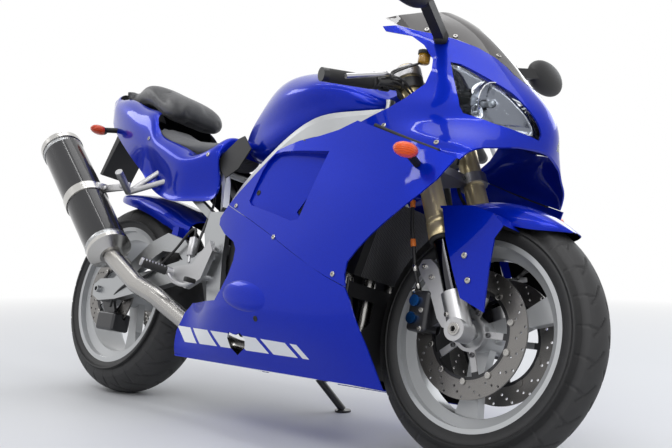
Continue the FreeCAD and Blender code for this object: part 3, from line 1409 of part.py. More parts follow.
def flank_block(start, end):
    """The solid between two distances inward from the flank."""
    sections = []
    for x_share, half_shares in fairing_rows:
        skin_line = [at(x_share, -half, z_share) for z_share, half in zip(fairing_levels, half_shares)]
        outer = [point + ACROSS * start for point in skin_line]
        inner = [point + ACROSS * end for point in skin_line]
        outer_curve = Part.BSplineCurve()
        outer_curve.interpolate(outer)
        inner_curve = Part.BSplineCurve()
        inner_curve.interpolate(inner)
        sections.append(Part.Wire([
            outer_curve.toShape(), Part.LineSegment(outer[-1], inner[-1]).toShape(),
            inner_curve.toShape(), Part.LineSegment(inner[0], outer[0]).toShape()]))
    return Part.makeLoft(sections, True, False)


duct_plan_shares = [
    (0.331, 0.34), (0.307, 0.295), (0.29, 0.245), (0.284, 0.173), (0.282, 0.086), (0.282, 0),
]
duct_levels = (0.151, 0.352)


def make_front_duct():
    """The panel across the front of the lower fairing, with an air opening each side."""
    sections = []
    for level in duct_levels:
        right = [at(x, -y, level) for x, y in duct_plan_shares]
        left = [at(x, y, level) for x, y in reversed(duct_plan_shares[:-1])]
        sections.append(right + left)
    panel = skin(sections, WALL, Vector(0, 0, 1))
    hole = cross_prism([at(0, -y, z) for y, z in duct_hole_shares], 0, WHEELBASE)
    panel = panel.cut(Part.makeCompound([hole, mirrored(hole)]))
    keep("front_duct", biggest(seated(panel, ["lower_fairing_right", "lower_fairing_left"])))


duct_hole_shares = [(0.216, 0.32), (0.086, 0.32), (0.086, 0.274), (0.158, 0.233)]


# Fork and controls

def make_fork():
    """The inverted fork: gold outer tubes, chrome inner tubes with axle castings, and clamps."""
    half = size("fork_half_spacing")
    outer = pipe(on_fork(size("fork_tube_bottom"), -half), on_fork(size("fork_tube_top"), -half),
                 size("outer_tube_radius"), size("outer_tube_radius") - size("inner_tube_radius") - GAP)
    keep("fork_outer_tubes", both_sides(outer))
    thin, thick = size("inner_tube_radius"), size("outer_tube_radius")
    top = size("fork_casting_top")
    inner = rod(on_fork(top * 0.5, -half), on_fork(size("fork_tube_bottom") * 1.6, -half), thin)
    casting = rod(on_fork(0, -half), on_fork(top, -half), thin * 1.35)
    foot = rod(on_fork(0, -half - thick), on_fork(0, -half + thick * 0.7), thin * 1.3)
    bracket = prism([side(*share) for share in caliper_bracket_shares], -half - size("bracket_far"),
                    -half + size("bracket_near"))
    leg = casting.fuse([inner, foot, bracket])
    bore = rod(FRONT_AXLE - ACROSS * WIDTH, FRONT_AXLE, size("axle_radius") + GAP)
    axle = axle_tube(FRONT_AXLE, half + size("outer_tube_radius"))
    keep("fork_legs", Part.makeCompound([both_sides(leg.cut(bore)), axle]))
    clamps = []
    for along in (size("lower_clamp_at"), size("upper_clamp_at")):
        clamps.append(clamp_shape(along, size("clamp_height")))
    stem_foot = stem_point(size("lower_clamp_at"))
    stem_top = stem_point(size("upper_clamp_at") + size("clamp_height"))
    stem = rod(stem_foot, stem_top, size("stem_radius"))
    keep("fork_clamps", clamps[0].fuse([clamps[1], stem]))


caliper_bracket_shares = [
    (0.489, 0.342), (0.466, 0.367), (0.434, 0.408), (0.422, 0.418), (0.406, 0.416),
    (0.399, 0.4), (0.406, 0.384), (0.429, 0.351), (0.442, 0.321), (0.453, 0.294),
    (0.466, 0.276), (0.495, 0.268),
]


def make_hoses():
    """Two brake hoses, each from a caliper up behind the fork to the underside of the lower clamp."""
    hose = bent_rod([at(*share) for share in hose_shares], size("hose_radius"), size("hose_bend"))
    hose = biggest(seated(hose, ["fork_clamps", "front_calipers"]))
    keep("brake_hoses", both_sides(hose))


hose_shares = [
    (0.406, -0.129, 0.329), (0.395, -0.161, 0.384), (0.376, -0.176, 0.493),
    (0.364, -0.17, 0.575), (0.353, -0.127, 0.61), (0.357, -0.075, 0.643),
]


def stem_point(along):
    """A point on the steering axis, level with a point of the fork."""
    return STEER_FOOT + STEER_AXIS * (on_fork(along) - STEER_FOOT).dot(STEER_AXIS)


def clamp_shape(along, height):
    """A triple clamp: a plate that joins the stem and both fork tubes."""
    half = size("fork_half_spacing")
    radius = size("outer_tube_radius") + size("clamp_wall")
    start = on_fork(along)
    ahead = Vector(math.cos(RAKE), 0, math.sin(RAKE))
    stem = stem_point(along)
    bosses = [rod(start + ACROSS * way, start + ACROSS * way + STEER_AXIS * height, radius)
              for way in (half, -half)]
    hub = rod(stem, stem + STEER_AXIS * height, size("head_tube_radius"))
    corners = [start + ACROSS * half, start - ACROSS * half,
               stem - ahead * size("stem_radius") - ACROSS * size("head_tube_radius"),
               stem - ahead * size("stem_radius") + ACROSS * size("head_tube_radius")]
    web = Part.Face(Part.makePolygon(corners + corners[:1])).extrude(STEER_AXIS * height)
    plate = web.fuse(bosses + [hub])
    for way in (half, -half):
        plate = plate.cut(rod(start + ACROSS * way - STEER_AXIS * height,
                              start + ACROSS * way + STEER_AXIS * (height * 2),
                              size("outer_tube_radius") + GAP / 2))
    return plate


def make_handlebars():
    """Clip-on bars with grips, levers, master cylinders."""
    ring_at = on_fork(size("bar_clamp_at"), -size("fork_half_spacing"))
    radius = size("outer_tube_radius") + size("clamp_wall")
    ring = pipe(ring_at, ring_at + STEER_AXIS * size("clamp_height"), radius,
                size("clamp_wall") - GAP / 2)
    middle = ring_at + STEER_AXIS * (size("clamp_height") / 2)
    end = at(*bar_end_share)
    out = (end - middle).normalize()
    start = middle + out * (size("outer_tube_radius") + size("clamp_wall") / 2)
    bar = rod(start, end, size("bar_radius"))
    grip_start = end - out * size("grip_length")
    grip = pipe(grip_start, end, size("grip_radius"), size("grip_radius") - size("bar_radius") - GAP)
    cap = rod(end, end + out * size("bar_end_length"), size("grip_radius"))
    bar = ring.fuse([bar, cap])
    keep("grips", both_sides(grip))
    perch, tip = at(*lever_shares[0]), at(*lever_shares[1])
    mount = grip_start - out * size("lever_mount")
    block = pipe(mount, mount + out * size("lever_clamp_width"), size("grip_radius"),
                 size("grip_radius") - size("bar_radius") - GAP)
    toward = (perch - mount).normalize() * size("grip_radius") * 0.8
    arm_foot = mount + out * (size("lever_clamp_width") / 2) + toward
    arm = loft_boxes([arm_foot, perch], size("bar_radius"), size("bar_radius"))
    lever = bent_rod([perch] + [at(*share) for share in lever_bend_shares] + [tip], size("lever_radius"),
                     size("lever_bend"))
    keep("handlebars", Part.makeCompound([both_sides(bar), both_sides(block.fuse([arm, lever]))]))


bar_end_share = (0.259, -0.475, 0.781)
lever_shares = [(0.31, -0.265, 0.822), (0.299, -0.463, 0.776)]
lever_bend_shares = [(0.32, -0.314, 0.813)]


def make_stays():
    """The tubes that carry the fairing: a centre stay with its cross tube, and one stay a side."""
    radius = size("hanger_radius")
    centre = bent_rod([at(*share) for share in centre_stay_shares], radius * 1.3, size("stay_bend"))
    half = cross_stay_half_share * WIDTH
    cross = side(*cross_stay_share)
    tube = rod(cross - ACROSS * half, cross + ACROSS * half, radius)
    centre = biggest(seated(centre.fuse(tube), ["main_frame", "upper_cowl", "side_fairing_right"]))
    stays = [centre]
    for root, tip in side_stay_shares:
        stay = rod(at(*root), at(*tip), radius)
        stay = biggest(seated(stay, ["main_frame", "side_fairing_right", "lower_fairing_right", "engine"]))
        stays.append(both_sides(stay))
    keep("fairing_stays", Part.makeCompound(stays))


centre_stay_shares = [(0.315, 0, 0.731), (0.439, 0, 0.731), (0.393, 0, 0.86)]
cross_stay_share = (0.409, 0.814)
cross_stay_half_share = 0.252
side_stay_shares = [[(0.172, -0.253, 0.68), (0.166, -0.377, 0.654)], [
    (0.043, -0.201, 0.219), (0.043, -0.377, 0.187),
]]


def make_instruments():
    """The meter pod between the fork tops and the screen."""
    low, high = [at(*share) for share in meter_shares]
    pod = box_between(low, high)
    pod = pod.makeFillet(size("meter_fillet"), pod.Edges)
    pod.rotate(low, ACROSS, size("meter_tilt_degrees"))
    keep("instrument_pod", biggest(seated(pod, ["fairing_stays"])))


meter_shares = [(0.377, -0.129, 0.816), (0.406, 0.129, 0.88)]


def make_fender():
    """The front fender: an arch over the tyre with a leg each side down to the fork."""
    radius = size("front_tyre_radius") + size("fender_gap")
    sections = []
    for turn_degrees, width_share in fender_stations:
        turn = math.radians(turn_degrees)
        out = Vector(math.cos(turn), 0, math.sin(turn))
        half = []
        for across, drop in fender_section:
            half.append((across * size("fender_half_width") * width_share,
                         radius - drop * size("fender_half_width") * width_share ** 2))
        right = [FRONT_AXLE + out * r - ACROSS * y for y, r in half]
        left = [FRONT_AXLE + out * r + ACROSS * y for y, r in reversed(half[:-1])]
        sections.append(right + left)
    wires = []
    for (turn_degrees, width_share), points in zip(fender_stations, sections):
        turn = math.radians(turn_degrees)
        along = Vector(-math.sin(turn), 0, math.cos(turn))
        wires.append(band(points, size("screen_wall"), along))
    arch = Part.makeLoft(wires, True, False)
    leg = prism([side(*share) for share in fender_leg_shares], -size("fender_leg_offset") - WALL,
                -size("fender_leg_offset"))
    bridge = prism([side(*share) for share in fender_bridge_shares], -size("fender_leg_offset") - WALL,
                   -size("fender_half_width") * bridge_reach_share)
    keep("front_fender", arch.fuse([leg, bridge, mirrored(leg), mirrored(bridge)]))


bridge_reach_share = 0.86
fender_stations = [(52.0, 0.3), (58.0, 0.72), (68.0, 0.94), (85.0, 0.96), (102.0, 0.9), (118.0, 0.88)]
fender_section = [(1.0, 0.78), (0.97, 0.45), (0.84, 0.2), (0.5, 0.05), (0.0, 0.0)]
fender_leg_shares = [
    (0.442, 0.528), (0.459, 0.457), (0.482, 0.393), (0.505, 0.336), (0.553, 0.311),
    (0.551, 0.399), (0.553, 0.46), (0.566, 0.486), (0.545, 0.511), (0.502, 0.528),
]
fender_bridge_shares = [
    (0.437, 0.53), (0.502, 0.53), (0.545, 0.513), (0.566, 0.488), (0.563, 0.484),
    (0.543, 0.509), (0.501, 0.525), (0.439, 0.525),
]


def make_calipers():
    """Front calipers behind the fork legs, and the rear caliper under the swingarm."""
    half = size("fork_half_spacing")
    centre = at(*front_caliper_share)
    long, tall, wide = size("caliper_length"), size("caliper_height"), size("caliper_width")
    block = Part.makeBox(tall, wide, long, centre - Vector(tall / 2, wide / 2, long / 2))
    block = block.makeFillet(size("bobbin_radius"), block.Edges)
    disc_slot = rod(FRONT_AXLE - ACROSS * (size("front_disc_offset") + size("disc_thickness") * 1.3),
                    FRONT_AXLE - ACROSS * (size("front_disc_offset") - size("disc_thickness") * 1.3),
                    size("front_disc_radius") + size("running_gap"))
    block = block.cut(disc_slot)
    face = centre.y - wide / 2
    for share in piston_cap_shares:
        spot = side(*share) + ACROSS * face
        block = block.fuse(rod(spot - ACROSS * (WALL * 2), spot + ACROSS * WALL, size("piston_cap_radius")))
    arm = prism([side(*share) for share in caliper_arm_shares],
                -half + size("inner_tube_radius") * 0.4, -half + size("outer_tube_radius"))
    keep("front_calipers", both_sides(biggest(seated(block.fuse(arm), ["fork_legs"]))))
    spot = at(*rear_caliper_share)
    rear = Part.makeBox(long, wide, tall, spot - Vector(long / 2, wide / 2, tall / 2))
    rear = rear.makeFillet(size("bobbin_radius"), rear.Edges)
    slot = rod(REAR_AXLE - ACROSS * (size("rear_disc_offset") + size("disc_thickness") * 1.3),
               REAR_AXLE - ACROSS * (size("rear_disc_offset") - size("disc_thickness") * 1.3),
               size("rear_disc_radius") + size("running_gap"))
    low, high = sorted((-size("arm_offset") + GAP, -size("arm_offset") + GAP + size("caliper_plate")))
    plate = prism([side(*share) for share in caliper_plate_shares], low, high)
    plate = plate.cut(rod(REAR_AXLE - ACROSS * WIDTH, REAR_AXLE, size("axle_radius") + GAP))
    keep("rear_caliper", biggest(rear.cut(slot).fuse(plate)))


caliper_plate_shares = [
    (-0.518, 0.294), (-0.505, 0.309), (-0.487, 0.305), (-0.452, 0.228), (-0.459, 0.205),
    (-0.479, 0.205), (-0.502, 0.239),
]


front_caliper_share = (0.414, -0.121, 0.306)
piston_cap_shares = [(0.408, 0.326), (0.406, 0.289)]
rear_caliper_share = (-0.466, -0.158, 0.196)
caliper_arm_shares = [
    (0.43, 0.393), (0.444, 0.384), (0.466, 0.34), (0.459, 0.292), (0.43, 0.274),
    (0.422, 0.301), (0.43, 0.329),
]


# Riding position, stand and small frames

def make_subframe():
    """The rear subframe of square tube on both sides with two cross tubes."""
    half = size("subframe_tube") / 2
    rails = []
    for run in subframe_runs:
        points = [at(*share) for share in run]
        rails.append(loft_boxes(points, half, half * 0.75))
    right = rails[0].fuse(rails[1:])
    ties = [rod(at(x, -y, z), at(x, y, z), half * 0.8) for x, y, z in subframe_tie_shares]
    frame = right.fuse([mirrored(right)] + ties)
    for rows in (seat_rows, pillion_rows):
        frame = frame.cut(cushion(rows, GAP * 2))
    keep("subframe", biggest(seated(frame, ["main_frame"])))


subframe_runs = [
    [
        (-0.108, -0.214, 0.522), (-0.135, -0.187, 0.594), (-0.163, -0.17, 0.644),
        (-0.229, -0.164, 0.658), (-0.43, -0.144, 0.731), (-0.616, -0.089, 0.826),
    ],
    [(-0.118, -0.214, 0.489), (-0.166, -0.187, 0.514), (-0.296, -0.167, 0.605), (-0.358, -0.15, 0.705)],
]
subframe_tie_shares = [(-0.215, 0.17, 0.653), (-0.43, 0.144, 0.731)]


def make_foot_controls():
    """Rider footrests with heel plates, and the passenger's footrest hangers."""
    root, tip = [at(*share) for share in rider_peg_shares]
    peg = rod(root, tip, size("peg_radius"))
    plate = prism([side(*share) for share in heel_plate_shares], root.y - size("plate_width") / 2,
                  root.y + size("plate_width") / 2)
    spacers = []
    for share in heel_spacer_shares:
        spot = side(*share)
        spacers.append(rod(spot - ACROSS * (size("plate_offset") + size("plate_width")),
                           Vector(spot.x, root.y, spot.z), size("hanger_radius")))
    rests = [both_sides(peg.fuse([plate] + spacers))]
    arms = []
    knee = at(*hanger_shares[2])
    for share in hanger_shares[:2]:
        arms.append(rod(at(*share), knee, size("hanger_radius")))
    foot = rod(knee, at(*hanger_shares[3]), size("peg_radius"))
    hanger = arms[0].fuse([arms[1], foot])
    rests.append(both_sides(biggest(seated(hanger, ["tail_cowl"]))))
    keep("footrests", Part.makeCompound(rests))


heel_spacer_shares = [(-0.08, 0.409), (-0.097, 0.336)]
rider_peg_shares = [(-0.188, -0.282, 0.34), (-0.215, -0.42, 0.352)]
heel_plate_shares = [
    (-0.086, 0.429), (-0.072, 0.402), (-0.093, 0.329), (-0.136, 0.301), (-0.197, 0.324),
    (-0.208, 0.347), (-0.179, 0.358), (-0.129, 0.365),
]
hanger_shares = [
    (-0.381, -0.193, 0.641), (-0.343, -0.193, 0.614), (-0.423, -0.276, 0.568),
    (-0.401, -0.377, 0.61),
]


def make_shock():
    """The rear shock absorber with its spring, upright behind the engine."""
    low, high = [side(*share) for share in shock_shares]
    damper = rod(low, high, size("inner_tube_radius"))
    spring = rod(low + (high - low) * shock_spring_shares[0], low + (high - low) * shock_spring_shares[1],
                 size("head_tube_radius"))
    keep("rear_shock", biggest(seated(damper.fuse(spring), ["swingarm", "main_frame"])))


shock_shares = [(-0.146, 0.267), (-0.126, 0.489)]
shock_spring_shares = (0.3, 0.8)


# Lean, floor and stand

def lean_placement():
    """Lean the machine to the left and rest both tyres on the floor."""
    turn = math.radians(size("lean_degrees"))
    lows = []
    for axle, radius, crown in ((FRONT_AXLE, "front_tyre_radius", "front_crown_radius"),
                                (REAR_AXLE, "rear_tyre_radius", "rear_crown_radius")):
        reach = size(radius) - size(crown)
        lows.append(axle.z * math.cos(turn) - reach * math.cos(turn) - size(crown))
    front_low, rear_low = lows
    lean = Placement(Vector(0, 0, 0), Rotation(Vector(1, 0, 0), -size("lean_degrees")))
    pitch = math.degrees(math.atan2(front_low - rear_low, WHEELBASE))
    level = Placement(Vector(0, 0, -(front_low + rear_low) / 2), Rotation(ACROSS, pitch))
    return level.multiply(lean)


LEAN = lean_placement()
stand_pivot_share = (-0.029, 0.216, 0.187)
stand_foot_share = (0.034, 0.406, 0)


def make_stand():
    """The side stand: a leg, a flat foot that lies on the floor, and a tang."""
    pivot = at(*stand_pivot_share)
    up = LEAN.inverse().Rotation.multVec(Vector(0, 0, 1))
    floor_point = at(*stand_foot_share)
    floor_point.z = 0
    foot = LEAN.inverse().multVec(floor_point)
    leg = rod(pivot, foot + up * size("stand_foot_height"), size("stand_radius"))
    pad_shape = Part.makeCylinder(size("stand_foot_radius"), size("stand_foot_height"), foot, up)
    down = (foot - pivot).normalize()
    back = Vector(*stand_stowed_shares).normalize()
    axis = down.cross(back).normalize()
    eye = rod(pivot - axis * size("stand_radius"), pivot + axis * size("stand_radius"),
              size("stand_radius") * 1.5)
    pin = size("peg_radius") * 0.6
    leg = leg.fuse([pad_shape, eye]).cut(rod(pivot - axis * WALL * 9, pivot + axis * WALL * 9, pin + GAP))
    keep("side_stand", leg)
    root = at(*stand_root_share)
    cheek = size("stand_radius") + GAP
    lug = rod(pivot + axis * cheek, pivot + axis * (cheek + WALL * 2), size("stand_radius") * 1.4)
    strut = rod(root, pivot + axis * (cheek + WALL), size("stand_radius") * 0.9)
    strut = strut.cut(rod(pivot - axis * cheek, pivot + axis * cheek, size("stand_radius") * 1.5 + GAP))
    bolt = rod(pivot - axis * cheek, pivot + axis * (cheek + WALL * 2), pin)
    return lug.fuse([strut, bolt])


stand_stowed_shares = (-0.97, 0.22, 0.05)
stand_root_share = (-0.066, 0.219, 0.29)


def build():
    """Make every sub-part in its place on the upright machine."""
    make_tyre("front_tyre", "front", FRONT_AXLE)
    make_tyre("rear_tyre", "rear", REAR_AXLE)
    make_rim("front_rim", "front", FRONT_AXLE)
    make_rim("rear_rim", "rear", REAR_AXLE)
    make_discs()
    make_chain()
    make_sprockets()
    make_tank()
    make_swingarm()
    make_frame(make_stand())
    make_engine()
    make_radiator()
    make_exhaust()
    make_subframe()
    make_seats()
    make_tail()
    make_side_covers()
    make_undertail()
    make_hugger()
    make_cowl()
    make_mirrors()
    make_side_panels()
    make_front_duct()
    make_signals()
    make_fork()
    make_handlebars()
    make_stays()
    make_instruments()
    make_fender()
    make_calipers()
    make_hoses()
    make_foot_controls()
    make_shock()


build()
doc.recompute()

# Settle every sub-part on the stand, centre the footprint, and check and write the files.
bounds = FreeCAD.BoundBox()
for node in NODES:
    node.Placement = LEAN.multiply(node.Placement)
    doc.recompute()
    bounds.add(node.Shape.optimalBoundingBox(False, False))
doc.recompute()
centre_shift = Placement(Vector(-bounds.Center.x, -bounds.Center.y, 0), Rotation())
for node in NODES:
    node.Placement = centre_shift.multiply(node.Placement)
doc.recompute()
for item in doc.Objects:
    if "Invalid" in item.State or "Error" in item.State:
        raise RuntimeError("%s failed: %s" % (item.Label, item.State))
for node in NODES:
    shape = node.Shape
    if shape.isNull() or not shape.isValid() or not shape.Solids:
        raise RuntimeError("%s has no valid solid" % node.Label)
    shape.exportStep("parts/%s.step" % node.Label)
    print("%-22s %3d solids %9.0f mm3" % (node.Label, len(shape.Solids), shape.Volume))
print("bounds", bounds)
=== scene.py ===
# %% [markdown]
# # A sport motorcycle on its side stand
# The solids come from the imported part, already at their real size and place, in metres.
# This file only dresses them: finishes first, then the small pieces that sit on the solids,
# and last the room, the lamps and the camera. Each step says what it copies from the real machine.

# %% Load the solids
import math

import bmesh
import bpy
import numpy as np
from mathutils import Matrix, Vector


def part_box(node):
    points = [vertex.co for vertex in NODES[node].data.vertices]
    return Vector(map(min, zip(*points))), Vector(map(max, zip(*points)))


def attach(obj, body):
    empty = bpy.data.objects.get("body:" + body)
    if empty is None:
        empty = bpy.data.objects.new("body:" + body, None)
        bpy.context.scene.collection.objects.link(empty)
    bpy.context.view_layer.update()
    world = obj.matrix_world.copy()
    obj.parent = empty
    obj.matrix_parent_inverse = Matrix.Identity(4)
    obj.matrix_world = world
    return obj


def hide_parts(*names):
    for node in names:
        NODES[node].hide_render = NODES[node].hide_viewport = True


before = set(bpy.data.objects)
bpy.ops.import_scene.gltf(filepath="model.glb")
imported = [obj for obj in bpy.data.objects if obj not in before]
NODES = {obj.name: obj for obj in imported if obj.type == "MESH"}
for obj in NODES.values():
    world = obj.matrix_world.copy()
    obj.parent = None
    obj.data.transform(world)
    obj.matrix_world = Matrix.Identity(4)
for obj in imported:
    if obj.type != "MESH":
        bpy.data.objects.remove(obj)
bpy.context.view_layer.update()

# %% [markdown]
# ## Working on the upright machine
# The motorcycle leans on its stand, and so every flat or upright line of it is slanted in the room.
# A designer would draw it upright. One matrix, taken from the middle of the front tyre and the
# angle of lean, carries points in millimetres on the upright machine to the leaning one, so that the
# steps below can use plain forward, sideways and height numbers. The ground midway between the
# axles is their zero.

# %% The upright machine's matrix
LEAN = math.radians(14)
RAKE = math.radians(24)
WHEELBASE = 1395.0
HEIGHT = 1095.0
FRONT_AXLE = Vector((WHEELBASE / 2, 0, 299))
REAR_AXLE = Vector((-WHEELBASE / 2, 0, 311))
STEER_AXIS = Vector((-math.sin(RAKE), 0, math.cos(RAKE)))
FORK_SIDE = -103
low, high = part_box("front_tyre")
TO_ROOM = (Matrix.Translation((low + high) / 2) @ Matrix.Rotation(-LEAN, 4, "X")
           @ Matrix.Scale(0.001, 4) @ Matrix.Translation(-FRONT_AXLE))
FROM_ROOM = TO_ROOM.inverted()
UPRIGHT_SHIFT = -(Matrix.Rotation(LEAN, 4, "X") @ TO_ROOM.translation)


def room(x, y, z):
    """A point in millimetres on the upright machine, in the room."""
    return TO_ROOM @ Vector((x, y, z))


print("front axle in the room:", room(*FRONT_AXLE))

# %% [markdown]
# ## Writing shaders as sums
# A pattern is easiest to read as a formula. This small class wraps one socket of a shader node and
# lets Python's own signs add the Math nodes. The Look class beside it holds one material and adds any
# other kind of node by name, so each finish below fits in a few lines.

# %% Shader helpers
class Wire:
    """A number socket that can be added, multiplied and compared."""

    def __init__(self, look, socket):
        self.look = look
        self.socket = socket

    def math(self, operation, *others):
        inputs = dict(enumerate((self,) + others))
        return self.look.node("ShaderNodeMath", {"operation": operation}, inputs)

    def __add__(self, other):
        return self.math("ADD", other)

    def __sub__(self, other):
        return self.math("SUBTRACT", other)

    def __rsub__(self, other):
        return self.look.node("ShaderNodeMath", {"operation": "SUBTRACT"}, {0: other, 1: self})

    def __mul__(self, other):
        return self.math("MULTIPLY", other)

    def __truediv__(self, other):
        return self.math("DIVIDE", other)

    def __gt__(self, other):
        return self.math("GREATER_THAN", other)

    def __lt__(self, other):
        return self.math("LESS_THAN", other)

    __radd__ = __add__
    __rmul__ = __mul__

    def clamp(self):
        return self.look.node("ShaderNodeClamp", {}, {"Value": self})


class Look:
    """One finish: a material that is built up node by node."""

    def __init__(self, name):
        self.material = bpy.data.materials.new(name)
        self.material.use_nodes = True
        self.tree = self.material.node_tree
        self.tree.nodes.clear()

    @classmethod
    def of_world(cls, world):
        """The same helper for the node tree of a world."""
        look = cls.__new__(cls)
        world.use_nodes = True
        look.tree = world.node_tree
        look.tree.nodes.clear()
        return look

    def node(self, kind, settings=None, inputs=None, output=0):
        """Add one node: first its settings, then the values or links of its sockets."""
        made = self.tree.nodes.new(kind)
        for name, value in (settings or {}).items():
            setattr(made, name, value)
        for name, value in (inputs or {}).items():
            socket = made.inputs[name]
            if isinstance(value, Wire):
                self.tree.links.new(value.socket, socket)
            else:
                socket.default_value = (*value, 1) if socket.type == "RGBA" else value
        return Wire(self, made.outputs[output]) if len(made.outputs) else None

    def place(self):
        """Where a point is on the piece, in the room's metres."""
        return self.node("ShaderNodeTexCoord", {}, {}, "Object")

    def upright(self):
        """Where a point is on the upright machine, in metres."""
        return self.node("ShaderNodeMapping", {}, {
            "Vector": self.place(), "Location": UPRIGHT_SHIFT, "Rotation": (LEAN, 0, 0)})

    def facing(self):
        """Which way the surface faces, on the upright machine."""
        normal = self.node("ShaderNodeTexCoord", {}, {}, "Normal")
        return self.node("ShaderNodeMapping", {"vector_type": "NORMAL"}, {
            "Vector": normal, "Rotation": (LEAN, 0, 0)})

    def axes(self, vector):
        """The three numbers of a vector."""
        parts = self.node("ShaderNodeSeparateXYZ", {}, {0: vector})
        outputs = parts.socket.node.outputs
        return [Wire(self, outputs[index]) for index in range(3)]

    def along(self, vector, direction):
        """How far a vector reaches along a direction."""
        return self.node("ShaderNodeVectorMath", {"operation": "DOT_PRODUCT"}, {0: vector, 1: direction},
                         "Value")

    def noise(self, scale, detail=3.0):
        return self.node("ShaderNodeTexNoise", {}, {"Vector": self.place(), "Scale": scale, "Detail": detail})

    def mix(self, factor, first, second):
        """Blend two colours."""
        return self.node("ShaderNodeMix", {"data_type": "RGBA"}, {0: factor, 6: first, 7: second}, 2)

    def finished(self, shader):
        """Feed a shader to the output; the material is ready then."""
        self.node("ShaderNodeOutputMaterial", {}, {"Surface": shader})
        return self.material

    def surface(self, colour, rough=0.5, metal=0.0, bump=None, depth=0.001, **more):
        """Finish with one Principled shader; more holds its other sockets."""
        inputs = {"Base Color": colour, "Roughness": rough, "Metallic": metal}
        inputs.update({name.replace("_", " "): value for name, value in more.items()})
        if bump is not None:
            inputs["Normal"] = self.node("ShaderNodeBump", {}, {
                "Height": bump, "Distance": depth, "Strength": 1.0})
        return self.finished(self.node("ShaderNodeBsdfPrincipled", {}, inputs))


# %% [markdown]
# ## Body paint
# The panels and the tank are deep blue with fine metal flake under a thick clear coat. The flake is a
# very small cell pattern that changes how bright each grain is, and the clear coat over it stays
# perfectly smooth, which gives the sharp reflections.

# %% Blue paint
BLACK = (0.012, 0.012, 0.013)
DEEP_BLUE = (0.001, 0.013, 0.34)
BRIGHT_BLUE = (0.003, 0.030, 0.56)
FLAKES_A_METRE = 1500.0
CLEAR_COAT = {"Coat_Roughness": 0.03, "Coat_IOR": 1.27, "Specular_IOR_Level": 0.0}


def blue_grain(look):
    """The paint's colour, a little different from flake to flake."""
    cells = look.node("ShaderNodeTexVoronoi", {"feature": "F1"}, {
        "Vector": look.place(), "Scale": FLAKES_A_METRE}, "Color")
    grain = look.node("ShaderNodeSeparateColor", {}, {0: cells})
    return look.mix(grain * 0.5, DEEP_BLUE, BRIGHT_BLUE)


def blue_paint():
    look = Look("blue_paint")
    return look.surface(blue_grain(look), 0.3, 0.4, Coat_Weight=1.0, **CLEAR_COAT)


BLUE = blue_paint()

# %% [markdown]
# ## Panels with a bare inside
# The lower panels, the tail and the mudguards are painted on their show side only, and inside they
# are bare black plastic. Seen from a point in the middle of the machine, the show side faces away and
# the inside faces back, and that tells the two apart. The lower panels also carry a row of pale
# slanted blocks near their bottom edge.

# %% Panel paint
BLOCK_WHITE = (0.72, 0.74, 0.77)
BLOCK_PITCH, BLOCK_FILL, BLOCK_SLANT = 0.104, 0.84, 1.1
ROW_BACK, ROW_FRONT = -0.185, 0.335
ROW_BOTTOM, ROW_MIDDLE, ROW_TOP, ROW_FALL = 0.183, 0.2, 0.2205, 0.025


def pale_blocks(x, z):
    """One inside a slanted block of the row and nothing beside it; all in metres."""
    run = x + (z - ROW_MIDDLE) * BLOCK_SLANT
    block = (run / BLOCK_PITCH).math("FRACT") < BLOCK_FILL
    height = (z > ROW_BOTTOM) * (z < ROW_TOP - x * ROW_FALL)
    return block * (run > ROW_BACK) * (run < ROW_FRONT) * height


def panel_paint(name, middle, rise=0.0, blocks=False):
    """Blue outside and black inside; middle is a point that the panel goes round, in metres."""
    look = Look(name)
    x, y, z = look.axes(look.upright())
    a, b, c = look.axes(look.facing())
    height = z - middle[2]
    if rise:
        height = height - (middle[0] - x).math("MAXIMUM", 0.0) * rise
    outside = ((x - middle[0]) * a + y * b + height * c) > 0.0
    colour = blue_grain(look)
    if blocks:
        colour = look.mix(pale_blocks(x, z), colour, BLOCK_WHITE)
    return look.surface(look.mix(outside, BLACK, colour), 0.55 - outside * 0.25, outside * 0.4,
                        Coat_Weight=outside, **CLEAR_COAT)


LOWER_PANEL = panel_paint("lower_panel_paint", (0.10, 0, 0.42), blocks=True)
TAIL_PANEL = panel_paint("tail_paint", (-0.45, 0, 0.69), rise=0.6)
FENDER_PANEL = panel_paint("fender_paint", tuple(FRONT_AXLE / 1000))
HUGGER_PANEL = panel_paint("hugger_paint", tuple(REAR_AXLE / 1000))

# %% [markdown]
# ## Plain finishes
# Most small parts need only a colour, a roughness and whether they are metal. A little uneven
# roughness keeps cast and brushed metal from looking like plastic.

# %% Metals, plastics and rubber
UNEVEN = 0.14


def cast_metal(name, colour, rough, grain=0.00008, scale=900.0):
    look = Look(name)
    lumps = look.noise(scale, 2.0)
    return look.surface(colour, lumps * UNEVEN + (rough - UNEVEN / 2), 1.0, bump=lumps, depth=grain)


def soft_plastic(name, colour, rough, grain=0.00005, scale=2500.0):
    look = Look(name)
    return look.surface(colour, rough, bump=look.noise(scale, 1.0), depth=grain)


SATIN_ALLOY = cast_metal("satin_alloy", (0.40, 0.41, 0.42), 0.34, 0.00003, 1400.0)
CAST_ALLOY = cast_metal("cast_alloy", (0.46, 0.46, 0.47), 0.42)
BARE_STEEL = cast_metal("bare_steel", (0.40, 0.39, 0.375), 0.26, 0.00002)
DARK_STEEL = cast_metal("dark_steel", (0.10, 0.10, 0.105), 0.42)
ENGINE_METAL = cast_metal("engine_metal", (0.07, 0.07, 0.075), 0.5, 0.0002, 500.0)
BLACK_PLASTIC = soft_plastic("black_plastic", BLACK, 0.55)
SOFT_RUBBER = soft_plastic("soft_rubber", (0.014, 0.014, 0.014), 0.72, 0.00015, 1200.0)
BLACK_METAL = Look("black_metal").surface(BLACK, 0.38, Coat_Weight=0.25)
WHEEL_PAINT = Look("wheel_paint").surface((0.46, 0.47, 0.48), 0.3, 0.3, Coat_Weight=0.5,
                                          Coat_Roughness=0.1)
